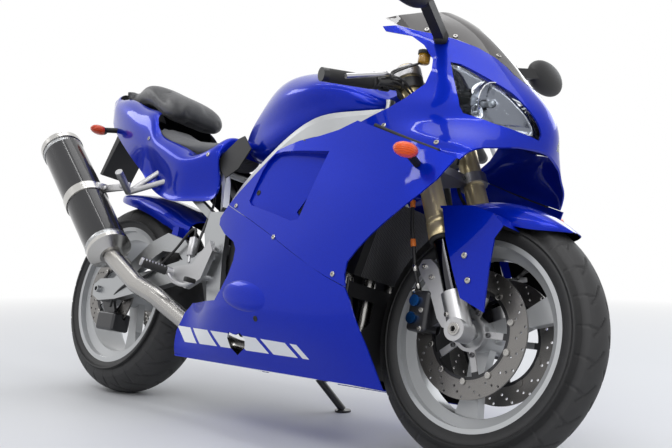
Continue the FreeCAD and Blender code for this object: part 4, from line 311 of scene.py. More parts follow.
GOLD_TUBE = Look("gold_tube").surface((0.84, 0.70, 0.40), 0.34, 0.7, Coat_Weight=0.2)
RED_LENS = Look("red_lens").surface((0.45, 0.012, 0.01), 0.14, Transmission_Weight=0.2, Coat_Weight=1.0)

# %% [markdown]
# ## The screen and the lamp lenses
# Clear and tinted plastic lets light through without bending it much in such a thin sheet. Mixing
# a plain see-through shader with a glossy one keeps the lamp bowls and the bars visible behind. The
# glossy one takes over where the sheet is seen edge on.

# %% See-through sheets
def clear_sheet(look, through, skin, blend, edge_gloss, gloss):
    """A see-through shader below a glossy skin; gloss is how much of the skin shows from straight on."""
    see = look.node("ShaderNodeBsdfTransparent", {}, {"Color": through})
    shine = look.node("ShaderNodeBsdfPrincipled", {}, {
        "Base Color": skin, "Roughness": 0.02, "Coat Weight": 1.0, "Coat Roughness": 0.01})
    edge = look.node("ShaderNodeLayerWeight", {}, {"Blend": blend}, "Fresnel")
    return look.node("ShaderNodeMixShader", {}, {0: edge * edge_gloss + gloss, 1: see, 2: shine})


def smoked_screen():
    look = Look("smoked_screen")
    smoke = (0.16, 0.15, 0.15)
    return look.finished(clear_sheet(look, smoke, smoke, 0.25, 0.9, 0.4))


SMOKED_SCREEN = smoked_screen()

# %% [markdown]
# ## Brake discs
# A disc is turned on a lathe and then worn by the pads, so fine rings run round it. The distance from
# the axle line, on the upright machine, makes the rings.

# %% Turned steel
RING_WAVES = 9000.0
CARRIER_RIM = 0.016


def turned_steel(name, axle, band_start):
    """Worn rings on the braking band, round a pale carrier that is dark inside its rim."""
    look = Look(name)
    x, _, z = look.axes(look.upright())
    across = x - axle.x / 1000
    up = z - axle.z / 1000
    reach = (across * across + up * up).math("SQRT")
    rings = (reach * RING_WAVES).math("SINE")
    worn = look.mix(rings * 0.5 + 0.5, (0.17, 0.165, 0.16), (0.27, 0.26, 0.25))
    carrier = look.mix(reach < band_start - CARRIER_RIM, (0.05, 0.05, 0.053), (0.40, 0.40, 0.41))
    band = reach > band_start
    return look.surface(look.mix(band, carrier, worn), rings * 0.05 + 0.33, 1.0,
                        bump=rings * band, depth=0.00001)


FRONT_DISC = turned_steel("front_disc_steel", FRONT_AXLE, 0.105)
REAR_DISC = turned_steel("rear_disc_steel", REAR_AXLE, 0.079)

# %% [markdown]
# ## Silencer
# The sleeve is dark carbon weave under lacquer, with brushed steel caps and a strap at its middle. A
# weave is two sets of slanted ribbons that take turns on top, so a checker of two stripe patterns
# draws it.

# %% Carbon sleeve and its steel bands
SILENCER_LOW = Vector((-572, -217, 412))
SILENCER_HIGH = Vector((-1003, -235, 786))
SILENCER_WAY = (SILENCER_HIGH - SILENCER_LOW).normalized()
SILENCER_LENGTH = (SILENCER_HIGH - SILENCER_LOW).length
LOW_CAP_END, HIGH_CAP_START = 0.036, 0.537
STRAP_START, STRAP_END = 0.2505, 0.2865
WEAVE_ALONG, WEAVE_ROUND = 900.0, 60.0


def carbon_sleeve():
    look = Look("carbon_sleeve")
    place = look.upright()
    start = SILENCER_LOW / 1000
    side = Vector((0, 1, 0))
    centre = look.node("ShaderNodeVectorMath", {"operation": "SUBTRACT"}, {
        0: place, 1: start + SILENCER_WAY * 0.28})
    run = look.along(place, SILENCER_WAY)
    angle = look.along(centre, side).math("ARCTAN2", look.along(centre, SILENCER_WAY.cross(side)))
    first = (run * WEAVE_ALONG + angle * WEAVE_ROUND).math("SINE")
    second = (run * WEAVE_ALONG - angle * WEAVE_ROUND).math("SINE")
    weave = look.mix((first * second) * 0.5 + 0.5, (0.008, 0.008, 0.009), (0.035, 0.035, 0.038))
    run = run - start.dot(SILENCER_WAY)
    shiny = (run < LOW_CAP_END) + (run > HIGH_CAP_START) + (run > STRAP_START) * (run < STRAP_END)
    return look.surface(look.mix(shiny, weave, (0.50, 0.49, 0.47)), shiny * 0.06 + 0.2, shiny,
                        Coat_Weight=0.8, Coat_IOR=1.35, Specular_IOR_Level=0.15)


CARBON = carbon_sleeve()
print("finishes:", len(bpy.data.materials))

# %% [markdown]
# ## Solids with two finishes
# Some solids hold parts of different metals: a fork leg has a dark polished tube and a pale casting,
# a bar has a bright lever. The distance from a line along the part decides which finish a point gets.
# The left side is folded onto the right first, so one line serves both sides.

# %% Distance from a line
def from_line(look, start, end):
    """Distance from a line and run along it, both in metres; start and end in upright millimetres."""
    start, end = Vector(start) / 1000, Vector(end) / 1000
    way = (end - start).normalized()
    x, y, z = look.axes(look.upright())
    dx = x - start.x
    dy = y.math("ABSOLUTE") * -1.0 - start.y
    dz = z - start.z
    run = dx * way.x + dy * way.y + dz * way.z
    reach = (dx * dx + dy * dy + dz * dz - run * run).math("MAXIMUM", 0.0).math("SQRT")
    return reach, run


FORK_TUBE = 0.0209
CASTING_TOP = 0.0925


def fork_leg():
    """A dark polished tube above a pale casting."""
    look = Look("fork_leg")
    foot = FRONT_AXLE + Vector((0, FORK_SIDE, 0))
    reach, run = from_line(look, foot, foot + STEER_AXIS * 500)
    tube = (reach < FORK_TUBE) * (run > CASTING_TOP)
    lumps = look.noise(900.0, 2.0) * (1 - tube)
    return look.surface(look.mix(tube, (0.50, 0.50, 0.51), (0.05, 0.05, 0.055)),
                        lumps * UNEVEN + 0.34 - tube * 0.24, 1.0, bump=lumps, depth=0.00008)


CAP_CENTRES = ((569, 357), (566, 316))
CAP_REACH = 0.0146
CAP_FACE = 0.1174


def front_caliper():
    """Black body with blue round piston caps."""
    look = Look("front_caliper")
    x, y, z = look.axes(look.upright())
    inside = []
    for cap_x, cap_z in CAP_CENTRES:
        across, up = x - cap_x / 1000, z - cap_z / 1000
        inside.append((across * across + up * up) < CAP_REACH ** 2)
    blue = (inside[0] + inside[1]) * (y.math("ABSOLUTE") > CAP_FACE)
    return look.surface(look.mix(blue, (0.022, 0.022, 0.025), (0.02, 0.13, 0.42)), 0.34 - blue * 0.08,
                        blue * 0.6 + 0.4, Coat_Weight=0.3)


LEVER_ROOT, LEVER_KNEE, LEVER_TIP = (433, -184, 900), (446, -218, 890), (417, -322, 850)
LEVER_REACH = 0.009


def bar_parts():
    """Bright levers on black bars."""
    look = Look("bar_parts")
    inner, inner_run = from_line(look, LEVER_ROOT, LEVER_KNEE)
    outer, outer_run = from_line(look, LEVER_KNEE, LEVER_TIP)
    lever = ((inner < LEVER_REACH) * (inner_run > -0.002) * (inner_run < 0.04)
             + (outer < LEVER_REACH) * (outer_run > -0.012) * (outer_run < 0.13)).clamp()
    return look.surface(look.mix(lever, BLACK, (0.56, 0.56, 0.57)), 0.38 - lever * 0.1,
                        lever, Coat_Weight=0.1)


FRONT_LENS_START, REAR_LENS_START = 0.040, 0.081


def signal_lamps():
    """Ribbed amber lenses in front of black bodies."""
    look = Look("signal_lamps")
    x, _, z = look.axes(look.upright())
    front_run = from_line(look, (628, -262, 642), (633, -298, 652))[1]
    rear_run = from_line(look, (-880, -62, 888), (-915, -130, 872))[1]
    front = x > 0.0
    lens = front * (front_run > FRONT_LENS_START) + (1 - front) * (rear_run > REAR_LENS_START)
    ribs = (z * 1400.0).math("SINE") * lens
    amber = look.mix(front, (0.60, 0.045, 0.004), (0.88, 0.10, 0.006))
    return look.surface(look.mix(lens, BLACK, amber), 0.45 - lens * 0.33, bump=ribs, depth=0.0006,
                        Coat_Weight=lens, Coat_IOR=1.3, Specular_IOR_Level=0.2)


CORE_SIDE = 0.146
FIN_WAVES = 1150.0


def radiator_core():
    """Pale fin edges, with painted shade in the gaps between them, and two black tanks at the sides."""
    look = Look("radiator_core")
    y = look.axes(look.upright())[1]
    core = y.math("ABSOLUTE") < CORE_SIDE
    # The dark stripes between the pale fin edges are painted shade in the gaps.
    fins_and_gap_shade = ((y * FIN_WAVES).math("SINE") * 0.5 + 0.5) * core
    return look.surface(look.mix(fins_and_gap_shade, BLACK, (0.24, 0.24, 0.25)), 0.45, core * 0.7, bump=fins_and_gap_shade, depth=0.0006)


BOWL_START, BOWL_END = Vector((560, -70, 850)), Vector((655, -82, 842))
BOWL_REACH, BOWL_RUN = 0.0535, 0.0985


def lamp_parts():
    """Clear lens in front, bright bowl behind."""
    look = Look("lamp_parts")
    reach, run = from_line(look, BOWL_START, BOWL_END)
    lens = clear_sheet(look, (0.93, 0.95, 0.97), (0.6, 0.62, 0.64), 0.12, 0.8, 0.0)
    metal = look.node("ShaderNodeBsdfPrincipled", {}, {
        "Base Color": (0.55, 0.56, 0.58), "Roughness": 0.16, "Metallic": 1.0})
    bowl = (reach < BOWL_REACH) * (run < BOWL_RUN)
    return look.finished(look.node("ShaderNodeMixShader", {}, {0: bowl, 1: lens, 2: metal}))


FORK_LEG = fork_leg()
FRONT_CALIPER = front_caliper()
REAR_CALIPER = Look("rear_caliper").surface((0.03, 0.03, 0.033), 0.36, 0.4, Coat_Weight=0.3)
BAR_PARTS = bar_parts()
SIGNALS = signal_lamps()
RADIATOR = radiator_core()
LAMP_PARTS = lamp_parts()
print("finishes with the two-part ones:", len(bpy.data.materials))

# %% [markdown]
# ## Painting the solids
# Every solid gets its finish here, in one table, so that nothing is left with the plain colour that
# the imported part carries. Solids that a drawn piece replaces later are in it too.

# %% One finish for each solid
FINISHES = (
    (BLUE, "fuel_tank side_fairing_left side_fairing_right upper_cowl"),
    (LOWER_PANEL, "lower_fairing_left lower_fairing_right"),
    (TAIL_PANEL, "tail_cowl"),
    (FENDER_PANEL, "front_fender"),
    (HUGGER_PANEL, "rear_hugger"),
    (WHEEL_PAINT, "front_rim rear_rim"),
    (FRONT_DISC, "front_discs"),
    (REAR_DISC, "rear_disc"),
    (FRONT_CALIPER, "front_calipers"),
    (REAR_CALIPER, "rear_caliper"),
    (FORK_LEG, "fork_legs"),
    (GOLD_TUBE, "fork_outer_tubes"),
    (BAR_PARTS, "handlebars"),
    (LAMP_PARTS, "headlamps"),
    (SIGNALS, "turn_signals"),
    (RED_LENS, "tail_light"),
    (SMOKED_SCREEN, "windscreen"),
    (CARBON, "silencer"),
    (RADIATOR, "radiator"),
    (ENGINE_METAL, "engine"),
    (SATIN_ALLOY, "fuel_cap main_frame subframe swingarm"),
    (CAST_ALLOY, "footrests fork_clamps"),
    (BARE_STEEL, "drive_chain exhaust_headers exhaust_mid_pipe rear_sprocket"),
    (BLACK_METAL, "fairing_stays rear_shock side_stand"),
    (BLACK_PLASTIC, "brake_hoses front_duct instrument_pod mirrors side_covers undertail"),
    (BLACK_PLASTIC, "passenger_seat rider_seat"),
    (SOFT_RUBBER, "front_tyre grips rear_tyre"),
)

painted = 0
for finish, names in FINISHES:
    for name in names.split():
        mesh = NODES[name].data
        mesh.materials.clear()
        mesh.materials.append(finish)
        painted += 1
print("painted", painted, "of", len(NODES), "solids")

# %% [markdown]
# ## Making meshes in the upright machine's millimetres
# Every added piece is written in the upright machine's own millimetres and carried into the room in
# its mesh, so the object itself stays at the origin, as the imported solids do. Each piece rides the
# body that carries the real one.

# %% Mesh helpers
WELD = 0.00001


def add_piece(name, vertices, faces, material, body="chassis", smooth=True):
    """Make an object from upright millimetres, weld it, and hang it on its body."""
    mesh = bpy.data.meshes.new(name)
    mesh.from_pydata([room(*point) for point in vertices], [], faces)
    work = bmesh.new()
    work.from_mesh(mesh)
    bmesh.ops.remove_doubles(work, verts=work.verts, dist=WELD)
    bmesh.ops.recalc_face_normals(work, faces=work.faces)
    work.to_mesh(mesh)
    work.free()
    mesh.materials.append(material)
    for face in mesh.polygons:
        face.use_smooth = smooth
    piece = bpy.data.objects.new(name, mesh)
    bpy.context.scene.collection.objects.link(piece)
    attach(piece, body)
    return piece


def frame_of(direction):
    """Two directions square to a third."""
    ahead = Vector(direction).normalized()
    guess = Vector((0, 0, 1)) if abs(ahead.z) < 0.9 else Vector((1, 0, 0))
    first = ahead.cross(guess).normalized()
    return first, ahead.cross(first)


def quads(rings, sides, closed=False):
    """The faces between rings of points; closed joins the last ring to the first."""
    faces = []
    for level in range(rings if closed else rings - 1):
        near, far = level * sides, (level + 1) % rings * sides
        for index in range(sides):
            after = (index + 1) % sides
            faces.append((near + index, near + after, far + after, far + index))
    return faces


def turned(profile, foot, direction, sides=32):
    """Vertices and faces of a closed lathe shape: profile holds (radius, along) pairs from pole to pole."""
    first, second = frame_of(direction)
    ahead = Vector(direction).normalized()
    foot = Vector(foot)
    vertices = []
    for radius, along in profile:
        for index in range(sides):
            turn = 2 * math.pi * index / sides
            out = first * math.cos(turn) + second * math.sin(turn)
            vertices.append(foot + ahead * along + out * radius)
    return vertices, quads(len(profile), sides)


def joined(shapes):
    """Put several (vertices, faces) shapes in one."""
    vertices, faces = [], []
    for more_vertices, more_faces in shapes:
        start = len(vertices)
        vertices += list(more_vertices)
        faces += [tuple(index + start for index in face) for face in more_faces]
    return vertices, faces


def smooth_path(points, steps):
    """A Catmull-Rom line through the points."""
    points = [Vector(point) for point in points]
    padded = [points[0] * 2 - points[1]] + points + [points[-1] * 2 - points[-2]]
    line = []
    for index in range(1, len(padded) - 2):
        a, b, c, d = padded[index - 1:index + 3]
        for step in range(steps):
            t = step / steps
            line.append(0.5 * (b * 2 + (c - a) * t + (a * 2 - b * 5 + c * 4 - d) * t * t
                               + (b * 3 - a - c * 3 + d) * t * t * t))
    line.append(points[-1])
    return line


def tube(points, radius, sides=10, steps=8):
    """A closed tube along a smooth line."""
    line = smooth_path(points, steps)
    vertices = []
    across = None
    for index, point in enumerate(line):
        ahead = (line[min(index + 1, len(line) - 1)] - line[max(index - 1, 0)]).normalized()
        if across is None:
            across = frame_of(ahead)[0]
        across = (across - ahead * across.dot(ahead)).normalized()
        other = ahead.cross(across)
        for side in range(sides):
            turn = 2 * math.pi * side / sides
            vertices.append(point + (across * math.cos(turn) + other * math.sin(turn)) * radius)
    faces = quads(len(line), sides)
    faces.append(tuple(reversed(range(sides))))
    faces.append(tuple(range((len(line) - 1) * sides, len(line) * sides)))
    return vertices, faces


def slab(outline, push):
    """A flat plate: outline points and the same points pushed away."""
    count = len(outline)
    vertices = outline + [point + push for point in outline]
    return vertices, quads(2, count) + [tuple(reversed(range(count))), tuple(range(count, 2 * count))]


def flipped(shape):
    """The same shape on the other side of the machine."""
    vertices, faces = shape
    return [Vector((v[0], -v[1], v[2])) for v in vertices], [tuple(reversed(face)) for face in faces]


# %% [markdown]
# ## Tyres
# A tyre is a torus-like form whose grooves are really cut in. The solid's own outline is measured
# here, station by station across the tread, and a fine grid repeats it all round. Points that fall in
# a groove are sunk, so the edges of the tread blocks catch the light.

# %% Tyre rubber
def tyre_rubber():
    look = Look("tyre_rubber")
    dust = look.noise(60.0, 4.0)
    return look.surface(look.mix(dust, (0.013, 0.013, 0.014), (0.028, 0.028, 0.029)),
                        dust * 0.12 + 0.55, bump=look.noise(1800.0, 2.0), depth=0.00012)


RUBBER = tyre_rubber()

# %% Tyre shape
GROOVE_DEPTH = 3.2
TREAD_STATIONS = 46
TREAD_TURNS = 900
SIDEWALL_SHARES = (0.93, 0.84, 0.70)
INNER_SHARE = 0.66


def tyre_profile(node, axle):
    """How far the solid's points are from the wheel's middle plane and from the axle."""
    points = np.array([FROM_ROOM @ vertex.co for vertex in NODES[node].data.vertices])
    return points[:, 1], np.hypot(points[:, 0] - axle.x, points[:, 2] - axle.z)


def groove_depth(across, turn, width, pitch, grooves):
    """How deep the tread is cut at one place: 0 outside the grooves, 1 in the middle of one.

    A groove is given by its start and end as shares of the half width, its slant, its shift in
    pitches and half its own width as an angle."""
    deepest = 0.0
    for start, end, slant, shift, half in grooves:
        share = abs(across) / width
        if not start < share < end:
            continue
        place = turn / pitch + (share - start) * slant + shift + (0.5 if across > 0 else 0)
        if abs(place - round(place)) * pitch < half:
            deepest = max(deepest, min(1.0, (share - start) / 0.05, (end - share) / 0.05))
    return deepest


def make_tyre(node, axle, grooves, blocks, body):
    """A tyre in place of its solid, with as many repeats of the grooves as it has blocks."""
    across, reach = tyre_profile(node, axle)
    half, outer, inner = np.abs(across).max(), reach.max(), reach.min()
    stations = np.unique(np.round(across, 1))
    heights = [reach[np.abs(across - place) < 0.3].max() for place in stations]
    places = np.sin(np.linspace(-math.pi / 2, math.pi / 2, TREAD_STATIONS + 1)) * half * 0.998
    tread = list(zip(places.tolist(), np.interp(places, stations, heights).tolist()))
    sidewall = list(zip(SIDEWALL_SHARES, (tread[0][1] - 14, inner + 3, inner)))
    profile = [(-half * share, value) for share, value in reversed(sidewall)] + tread
    profile += [(half * share, value) for share, value in sidewall]
    profile += [(half * INNER_SHARE, inner + 8), (-half * INNER_SHARE, inner + 8)]
    vertices = []
    for step in range(TREAD_TURNS):
        turn = 2 * math.pi * step / TREAD_TURNS
        for place, value in profile:
            if value > outer - half * 0.75 and abs(place) < half * 0.95:
                value -= GROOVE_DEPTH * groove_depth(place, turn, half, 2 * math.pi / blocks, grooves)
            vertices.append((axle.x + value * math.cos(turn), place, axle.z + value * math.sin(turn)))
    faces = quads(TREAD_TURNS, len(profile), closed=True)
    tyre = add_piece(node + "_tread", vertices, faces, RUBBER, body)
    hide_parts(node)
    print(node, "half width", round(half, 1), "reach", round(outer, 1), "faces", len(faces))


FRONT_GROOVES = [(0.06, 0.62, 1.3, 0.0, 0.012), (0.45, 0.92, -0.35, 0.45, 0.010)]
REAR_GROOVES = [(0.10, 0.66, 1.5, 0.0, 0.011), (0.5, 0.93, -0.4, 0.4, 0.010)]
make_tyre("front_tyre", FRONT_AXLE, FRONT_GROOVES, 26, "front_wheel")
make_tyre("rear_tyre", REAR_AXLE, REAR_GROOVES, 30, "rear_wheel")

# %% [markdown]
# ## Keeping what a modifier made
# A modifier only shows its result and leaves the mesh below as it was. For a finished piece the result
# is taken over as a plain mesh, which can be measured, welded and painted like any other.

# %% Plain meshes from modifiers
def applied(piece):
    """What the piece's modifiers make of its mesh, as its new plain mesh."""
    shape = piece.evaluated_get(bpy.context.evaluated_depsgraph_get())
    mesh = bpy.data.meshes.new_from_object(shape)
    piece.modifiers.clear()
    piece.data = mesh
    return mesh


# %% [markdown]
# ## Seats
# The real seats are foam under a stretched cover. The pad starts a little smaller than its solid,
# is remeshed into even squares, and a short cloth simulation blows it up, so its edges go round
# and its sides pull in between the corners.

# %% Seat covers
SEAT_SHRINK = 0.004
SEAT_BULGE = 0.005
SEAT_SQUARE = 0.006
SEAT_STEPS = 15


def seat_cover(name, colour, rough):
    look = Look(name)
    pores = look.node("ShaderNodeTexVoronoi", {"feature": "F1"}, {
        "Vector": look.place(), "Scale": 900.0}, "Distance")
    worn = tuple(part * 1.25 for part in colour)
    return look.surface(look.mix(look.noise(14.0), colour, worn), rough, bump=pores, depth=0.00015,
                        Sheen_Weight=0.15)


def shrunk_pad(node):
    """A copy of a seat's solid, welded and drawn in, then remeshed into even squares."""
    mesh = NODES[node].data.copy()
    work = bmesh.new()
    work.from_mesh(mesh)
    bmesh.ops.remove_doubles(work, verts=work.verts, dist=0.0002)
    bmesh.ops.recalc_face_normals(work, faces=work.faces)
    for vertex in work.verts:
        vertex.normal_update()
    moves = {vertex: vertex.normal * SEAT_SHRINK for vertex in work.verts}
    for vertex, move in moves.items():
        vertex.co -= move
    work.to_mesh(mesh)
    work.free()
    pad = bpy.data.objects.new(node + "_pad", mesh)
    bpy.context.scene.collection.objects.link(pad)
    bpy.context.view_layer.objects.active = pad
    remesh = pad.modifiers.new("even", "REMESH")
    remesh.mode = "VOXEL"
    remesh.voxel_size = SEAT_SQUARE
    bpy.context.view_layer.update()
    applied(pad)
    return pad


def places_of(mesh):
    """A mesh's points, one row each."""
    places = np.empty(len(mesh.vertices) * 3)
    mesh.vertices.foreach_get("co", places)
    return places.reshape(-1, 3)


def blown_up(pad):
    """Let air pressure bulge the cover, but no point further than a few millimetres."""
    start = places_of(pad.data)
    cloth = pad.modifiers.new("cover", "CLOTH")
    cloth.settings.use_pressure = True
    cloth.settings.uniform_pressure_force = 4
    cloth.settings.effector_weights.gravity = 0
    for step in range(1, SEAT_STEPS + 1):
        bpy.context.scene.frame_set(step)
    blown = applied(pad)
    moved = places_of(blown) - start
    length = np.linalg.norm(moved, axis=1, keepdims=True)
    moved *= np.minimum(1, SEAT_BULGE / np.maximum(length, 1e-9))
    blown.vertices.foreach_set("co", (start + moved).ravel())
    blown.update()
    bpy.context.scene.frame_set(1)


def padded_seat(node, cover):
    pad = shrunk_pad(node)
    blown_up(pad)
    finer = pad.modifiers.new("finer", "SUBSURF")
    finer.levels = finer.render_levels = 1
    smooth = applied(pad)
    smooth.materials.clear()
    smooth.materials.append(cover)
    for face in smooth.polygons:
        face.use_smooth = True
        face.material_index = 0
    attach(pad, "chassis")
    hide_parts(node)
    print(node, "pad faces", len(smooth.polygons))


padded_seat("rider_seat", seat_cover("grey_cover", (0.055, 0.057, 0.062), 0.5))
padded_seat("passenger_seat", seat_cover("dark_cover", (0.018, 0.019, 0.022), 0.42))

# %% [markdown]
# ## Finding a place on a solid
# Screws and small fittings sit on curved panels, whose exact height at one spot is hard to know by
# hand. A straight line is shot at the solid, as a drill would be aimed, and the place and the facing
# where it lands are used.

# %% Aiming at a solid
from mathutils.bvhtree import BVHTree

SURFACES = {}
INWARDS = (0, 1, 0)
BESIDE = -600


def touch(node, start, direction):
    """Where a straight line first meets a solid, and which way the solid faces there."""
    if node not in SURFACES:
        mesh = NODES[node].data
        SURFACES[node] = BVHTree.FromPolygons([FROM_ROOM @ vertex.co for vertex in mesh.vertices],
                                              [tuple(face.vertices) for face in mesh.polygons])
    way = Vector(direction).normalized()
    place, facing = SURFACES[node].ray_cast(Vector(start), way)[:2]
    if place is None:
        print("nothing met on", node, "from", tuple(start))
        return None
    return place, -facing if facing.dot(way) > 0 else facing


def on_flank(node, x, z):
    """The place on a solid's right side at one run and height."""
    return touch(node, (x, BESIDE, z), INWARDS)


print("flank at a screw:", on_flank("side_fairing_right", 202, 470))

# %% [markdown]
# ## A tree that repeats one small shape
# Screws, rivets and chain plates are the same shape many times over. The places go in as bare points
# that know which way they face. A Geometry Nodes tree puts the shape on each point, turns it to face
# that way and ends as one plain mesh, so changing one number changes all the screws of a kind.

# %% The repeating tree
def repeat_tree(name, sizes, shape):
    """A tree that puts one shape on every point; shape builds it from the sizes' sockets."""
    tree = bpy.data.node_groups.new(name, "GeometryNodeTree")
    tree.interface.new_socket("Places", in_out="INPUT", socket_type="NodeSocketGeometry")
    for label, value in sizes.items():
        socket = tree.interface.new_socket(label, in_out="INPUT", socket_type="NodeSocketFloat")
        socket.default_value = value
    tree.interface.new_socket("Finish", in_out="INPUT", socket_type="NodeSocketMaterial")
    tree.interface.new_socket("Pieces", in_out="OUTPUT", socket_type="NodeSocketGeometry")
    start = tree.nodes.new("NodeGroupInput")
    end = tree.nodes.new("NodeGroupOutput")

    def add(kind, settings, inputs):
        made = tree.nodes.new(kind)
        for key, value in settings.items():
            setattr(made, key, value)
        for key, value in inputs.items():
            if isinstance(value, bpy.types.NodeSocket):
                tree.links.new(value, made.inputs[key])
            else:
                made.inputs[key].default_value = value
        return made

    one = shape(add, {label: start.outputs[label] for label in sizes})
    facing, along = (add("GeometryNodeInputNamedAttribute", {"data_type": "FLOAT_VECTOR"}, {"Name": name})
                     for name in ("facing", "along"))
    turn = add("FunctionNodeAlignRotationToVector", {"axis": "Z"}, {"Vector": facing.outputs[0]})
    twist = add("FunctionNodeAlignRotationToVector", {"axis": "X", "pivot_axis": "Z"},
                {"Rotation": turn.outputs[0], "Vector": along.outputs[0]})
    copies = add("GeometryNodeInstanceOnPoints", {}, {
        "Points": start.outputs["Places"], "Instance": one, "Rotation": twist.outputs[0]})
    plain = add("GeometryNodeRealizeInstances", {}, {"Geometry": copies.outputs[0]})
    painted = add("GeometryNodeSetMaterial", {}, {
        "Geometry": plain.outputs[0], "Material": start.outputs["Finish"]})
    tree.links.new(painted.outputs[0], end.inputs["Pieces"])
    return tree


def run_tree(piece, tree, wanted):
    """Set the tree's named inputs on a piece and keep the plain mesh that comes out."""
    modifier = piece.modifiers.new("tree", "NODES")
    modifier.node_group = tree
    for item in tree.interface.items_tree:
        if item.in_out == "INPUT" and item.name in wanted:
            modifier[item.identifier] = wanted[item.name]
    bpy.context.view_layer.update()
    return applied(piece)


def repeated(name, tree, spots, finish, body, sizes):
    """Run a tree on spots, each a place, a facing and a direction along, in upright millimetres."""
    mesh = bpy.data.meshes.new(name)
    mesh.from_pydata([room(*spot[0]) for spot in spots], [], [])
    turn = TO_ROOM.to_3x3().normalized()
    for label, index, plain in (("facing", 1, (0, 0, 1)), ("along", 2, (1, 0, 0))):
        values = mesh.attributes.new(label, "FLOAT_VECTOR", "POINT")
        for number, spot in enumerate(spots):
            way = Vector(spot[index] if len(spot) > index else plain)
            values.data[number].vector = turn @ way.normalized()
    piece = bpy.data.objects.new(name, mesh)
    bpy.context.scene.collection.objects.link(piece)
    done = run_tree(piece, tree, {**sizes, "Finish": finish})
    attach(piece, body)
    print(name, "places", len(spots), "faces", len(done.polygons))


# %% [markdown]
# ## Screws
# A socket screw is a low drum with a chamfer and a sunk hole. It starts as a cylinder whose top face
# is drawn in twice and then pushed down.

# %% Screw shape
def screw_shape(add, sizes):
    drum = add("GeometryNodeMeshCylinder", {"fill_type": "NGON"}, {
        "Vertices": 14, "Radius": sizes["Radius"], "Depth": sizes["Height"]})
    edge = add("GeometryNodeExtrudeMesh", {"mode": "FACES"}, {
        "Mesh": drum.outputs["Mesh"], "Selection": drum.outputs["Top"], "Offset Scale": sizes["Dome"]})
    shrunk = add("GeometryNodeScaleElements", {"domain": "FACE"}, {
        "Geometry": edge.outputs["Mesh"], "Selection": edge.outputs["Top"], "Scale": 0.8})
    rim = add("GeometryNodeExtrudeMesh", {"mode": "FACES"}, {
        "Mesh": shrunk.outputs[0], "Selection": edge.outputs["Top"], "Offset Scale": 0.0})
    hole = add("GeometryNodeScaleElements", {"domain": "FACE"}, {
        "Geometry": rim.outputs["Mesh"], "Selection": rim.outputs["Top"], "Scale": sizes["Socket share"]})
    sunk = add("GeometryNodeExtrudeMesh", {"mode": "FACES"}, {
        "Mesh": hole.outputs[0], "Selection": rim.outputs["Top"], "Offset Scale": sizes["Socket depth"]})
    return sunk.outputs["Mesh"]


SCREW_SIZES = {"Radius": 0.006, "Height": 0.004, "Dome": 0.001, "Socket share": 0.55, "Socket depth": -0.002}
SCREWS = repeat_tree("screws", SCREW_SIZES, screw_shape)


def screws(name, spots, body, radius=6.0, height=4.0, finish=BARE_STEEL, share=0.55):
    """Socket screws of one size, in millimetres; share is the width of the hole in the head."""
    repeated(name, SCREWS, spots, finish, body, {
        "Radius": radius / 1000, "Height": height / 1000, "Dome": height / 4000,
        "Socket share": share, "Socket depth": -height / 2000})


def both(spots):
    """Spots and their mirror images."""
    return spots + [tuple(Vector((v[0], -v[1], v[2])) for v in spot) for spot in spots]


# %% [markdown]
# ## Screws of the panels
# The panels hang on a few screws each. Only a screw's run and height are given, and the ray finds how
# far out the panel is there and how the screw must lean to sit flat on it.

# %% Panel screws
PANEL_SCREWS = {
    "side_fairing_right": ((-1, 561), (202, 470), (440, 382)),
    "upper_cowl": ((648, 700), (484, 751)),
    "tail_cowl": ((-260, 740), (-600, 815)),
    "windscreen": ((640, 982), (540, 1026), (470, 1042)),
}
flank = [on_flank(node, x, z) for node, places in PANEL_SCREWS.items() for x, z in places]
screws("panel_screws", both(flank), "chassis", 6.5, 4.5)
plugs = [on_flank("side_fairing_right", 79, 596), on_flank("lower_fairing_right", 187, 262)]
screws("panel_plugs", both(plugs), "chassis", 7.5, 2.5, SOFT_RUBBER, 0.7)
fender = [on_flank("front_fender", x, z) for x, z in ((700, 464), (719, 408))]
screws("fender_screws", both(fender), "steering", 7.5, 6)

# %% [markdown]
# ## Brake disc bolts and bobbins
# Ten bobbins let each braking ring float on its carrier, and five bolts hold the carrier to the hub.
# Both follow a circle about the axle, so their places come from one small loop.

# %% Bolts on the wheels
def circle_spots(axle, reach, count, across, start=0.0):
    """Places round an axle, facing outwards across the machine."""
    spots = []
    for index in range(count):
        turn = 2 * math.pi * (index + start) / count
        spots.append((axle + Vector((reach * math.cos(turn), across, reach * math.sin(turn))),
                      Vector((0, math.copysign(1, across), 0))))
    return spots


front_bobbins, front_bolts = [], []
for side in (-1, 1):
    front_bobbins += circle_spots(FRONT_AXLE, 108, 10, side * 70.5, 0.5)
    front_bolts += circle_spots(FRONT_AXLE, 50, 5, side * 69)
rear_bobbins = circle_spots(REAR_AXLE, 81.5, 10, -109, 0.5)
screws("front_bobbin_caps", front_bobbins, "front_wheel", 7.5, 1.4, share=0.5)
screws("front_disc_bolts", front_bolts, "front_wheel", 6, 5, DARK_STEEL)
screws("rear_bobbin_caps", rear_bobbins, "rear_wheel", 7, 3, share=0.5)
screws("rear_disc_bolts", circle_spots(REAR_AXLE, 50, 5, -107), "rear_wheel", 6, 5, DARK_STEEL)
screws("sprocket_nuts", circle_spots(REAR_AXLE, 40, 5, 116.5, 0.5), "rear_wheel", 8, 6, share=0.6)

# %% [markdown]
# ## Chain plates
# The solid has the chain as one closed loop. A real chain shows pairs of plates with waisted sides,
# joined by round pins. The pins' places follow the two sprockets and the straight runs between them,
# as in the solid, and a tree puts an outer plate on every second gap.

# %% Chain places
PITCH = 15.875
REAR_TEETH, FRONT_TEETH = 43, 16
REAR_RADIUS = PITCH / (2 * math.sin(math.pi / REAR_TEETH))
FRONT_RADIUS = PITCH / (2 * math.sin(math.pi / FRONT_TEETH))
OUTPUT_SHAFT = Vector((-0.052 * WHEELBASE, 0, 0.395 * HEIGHT))


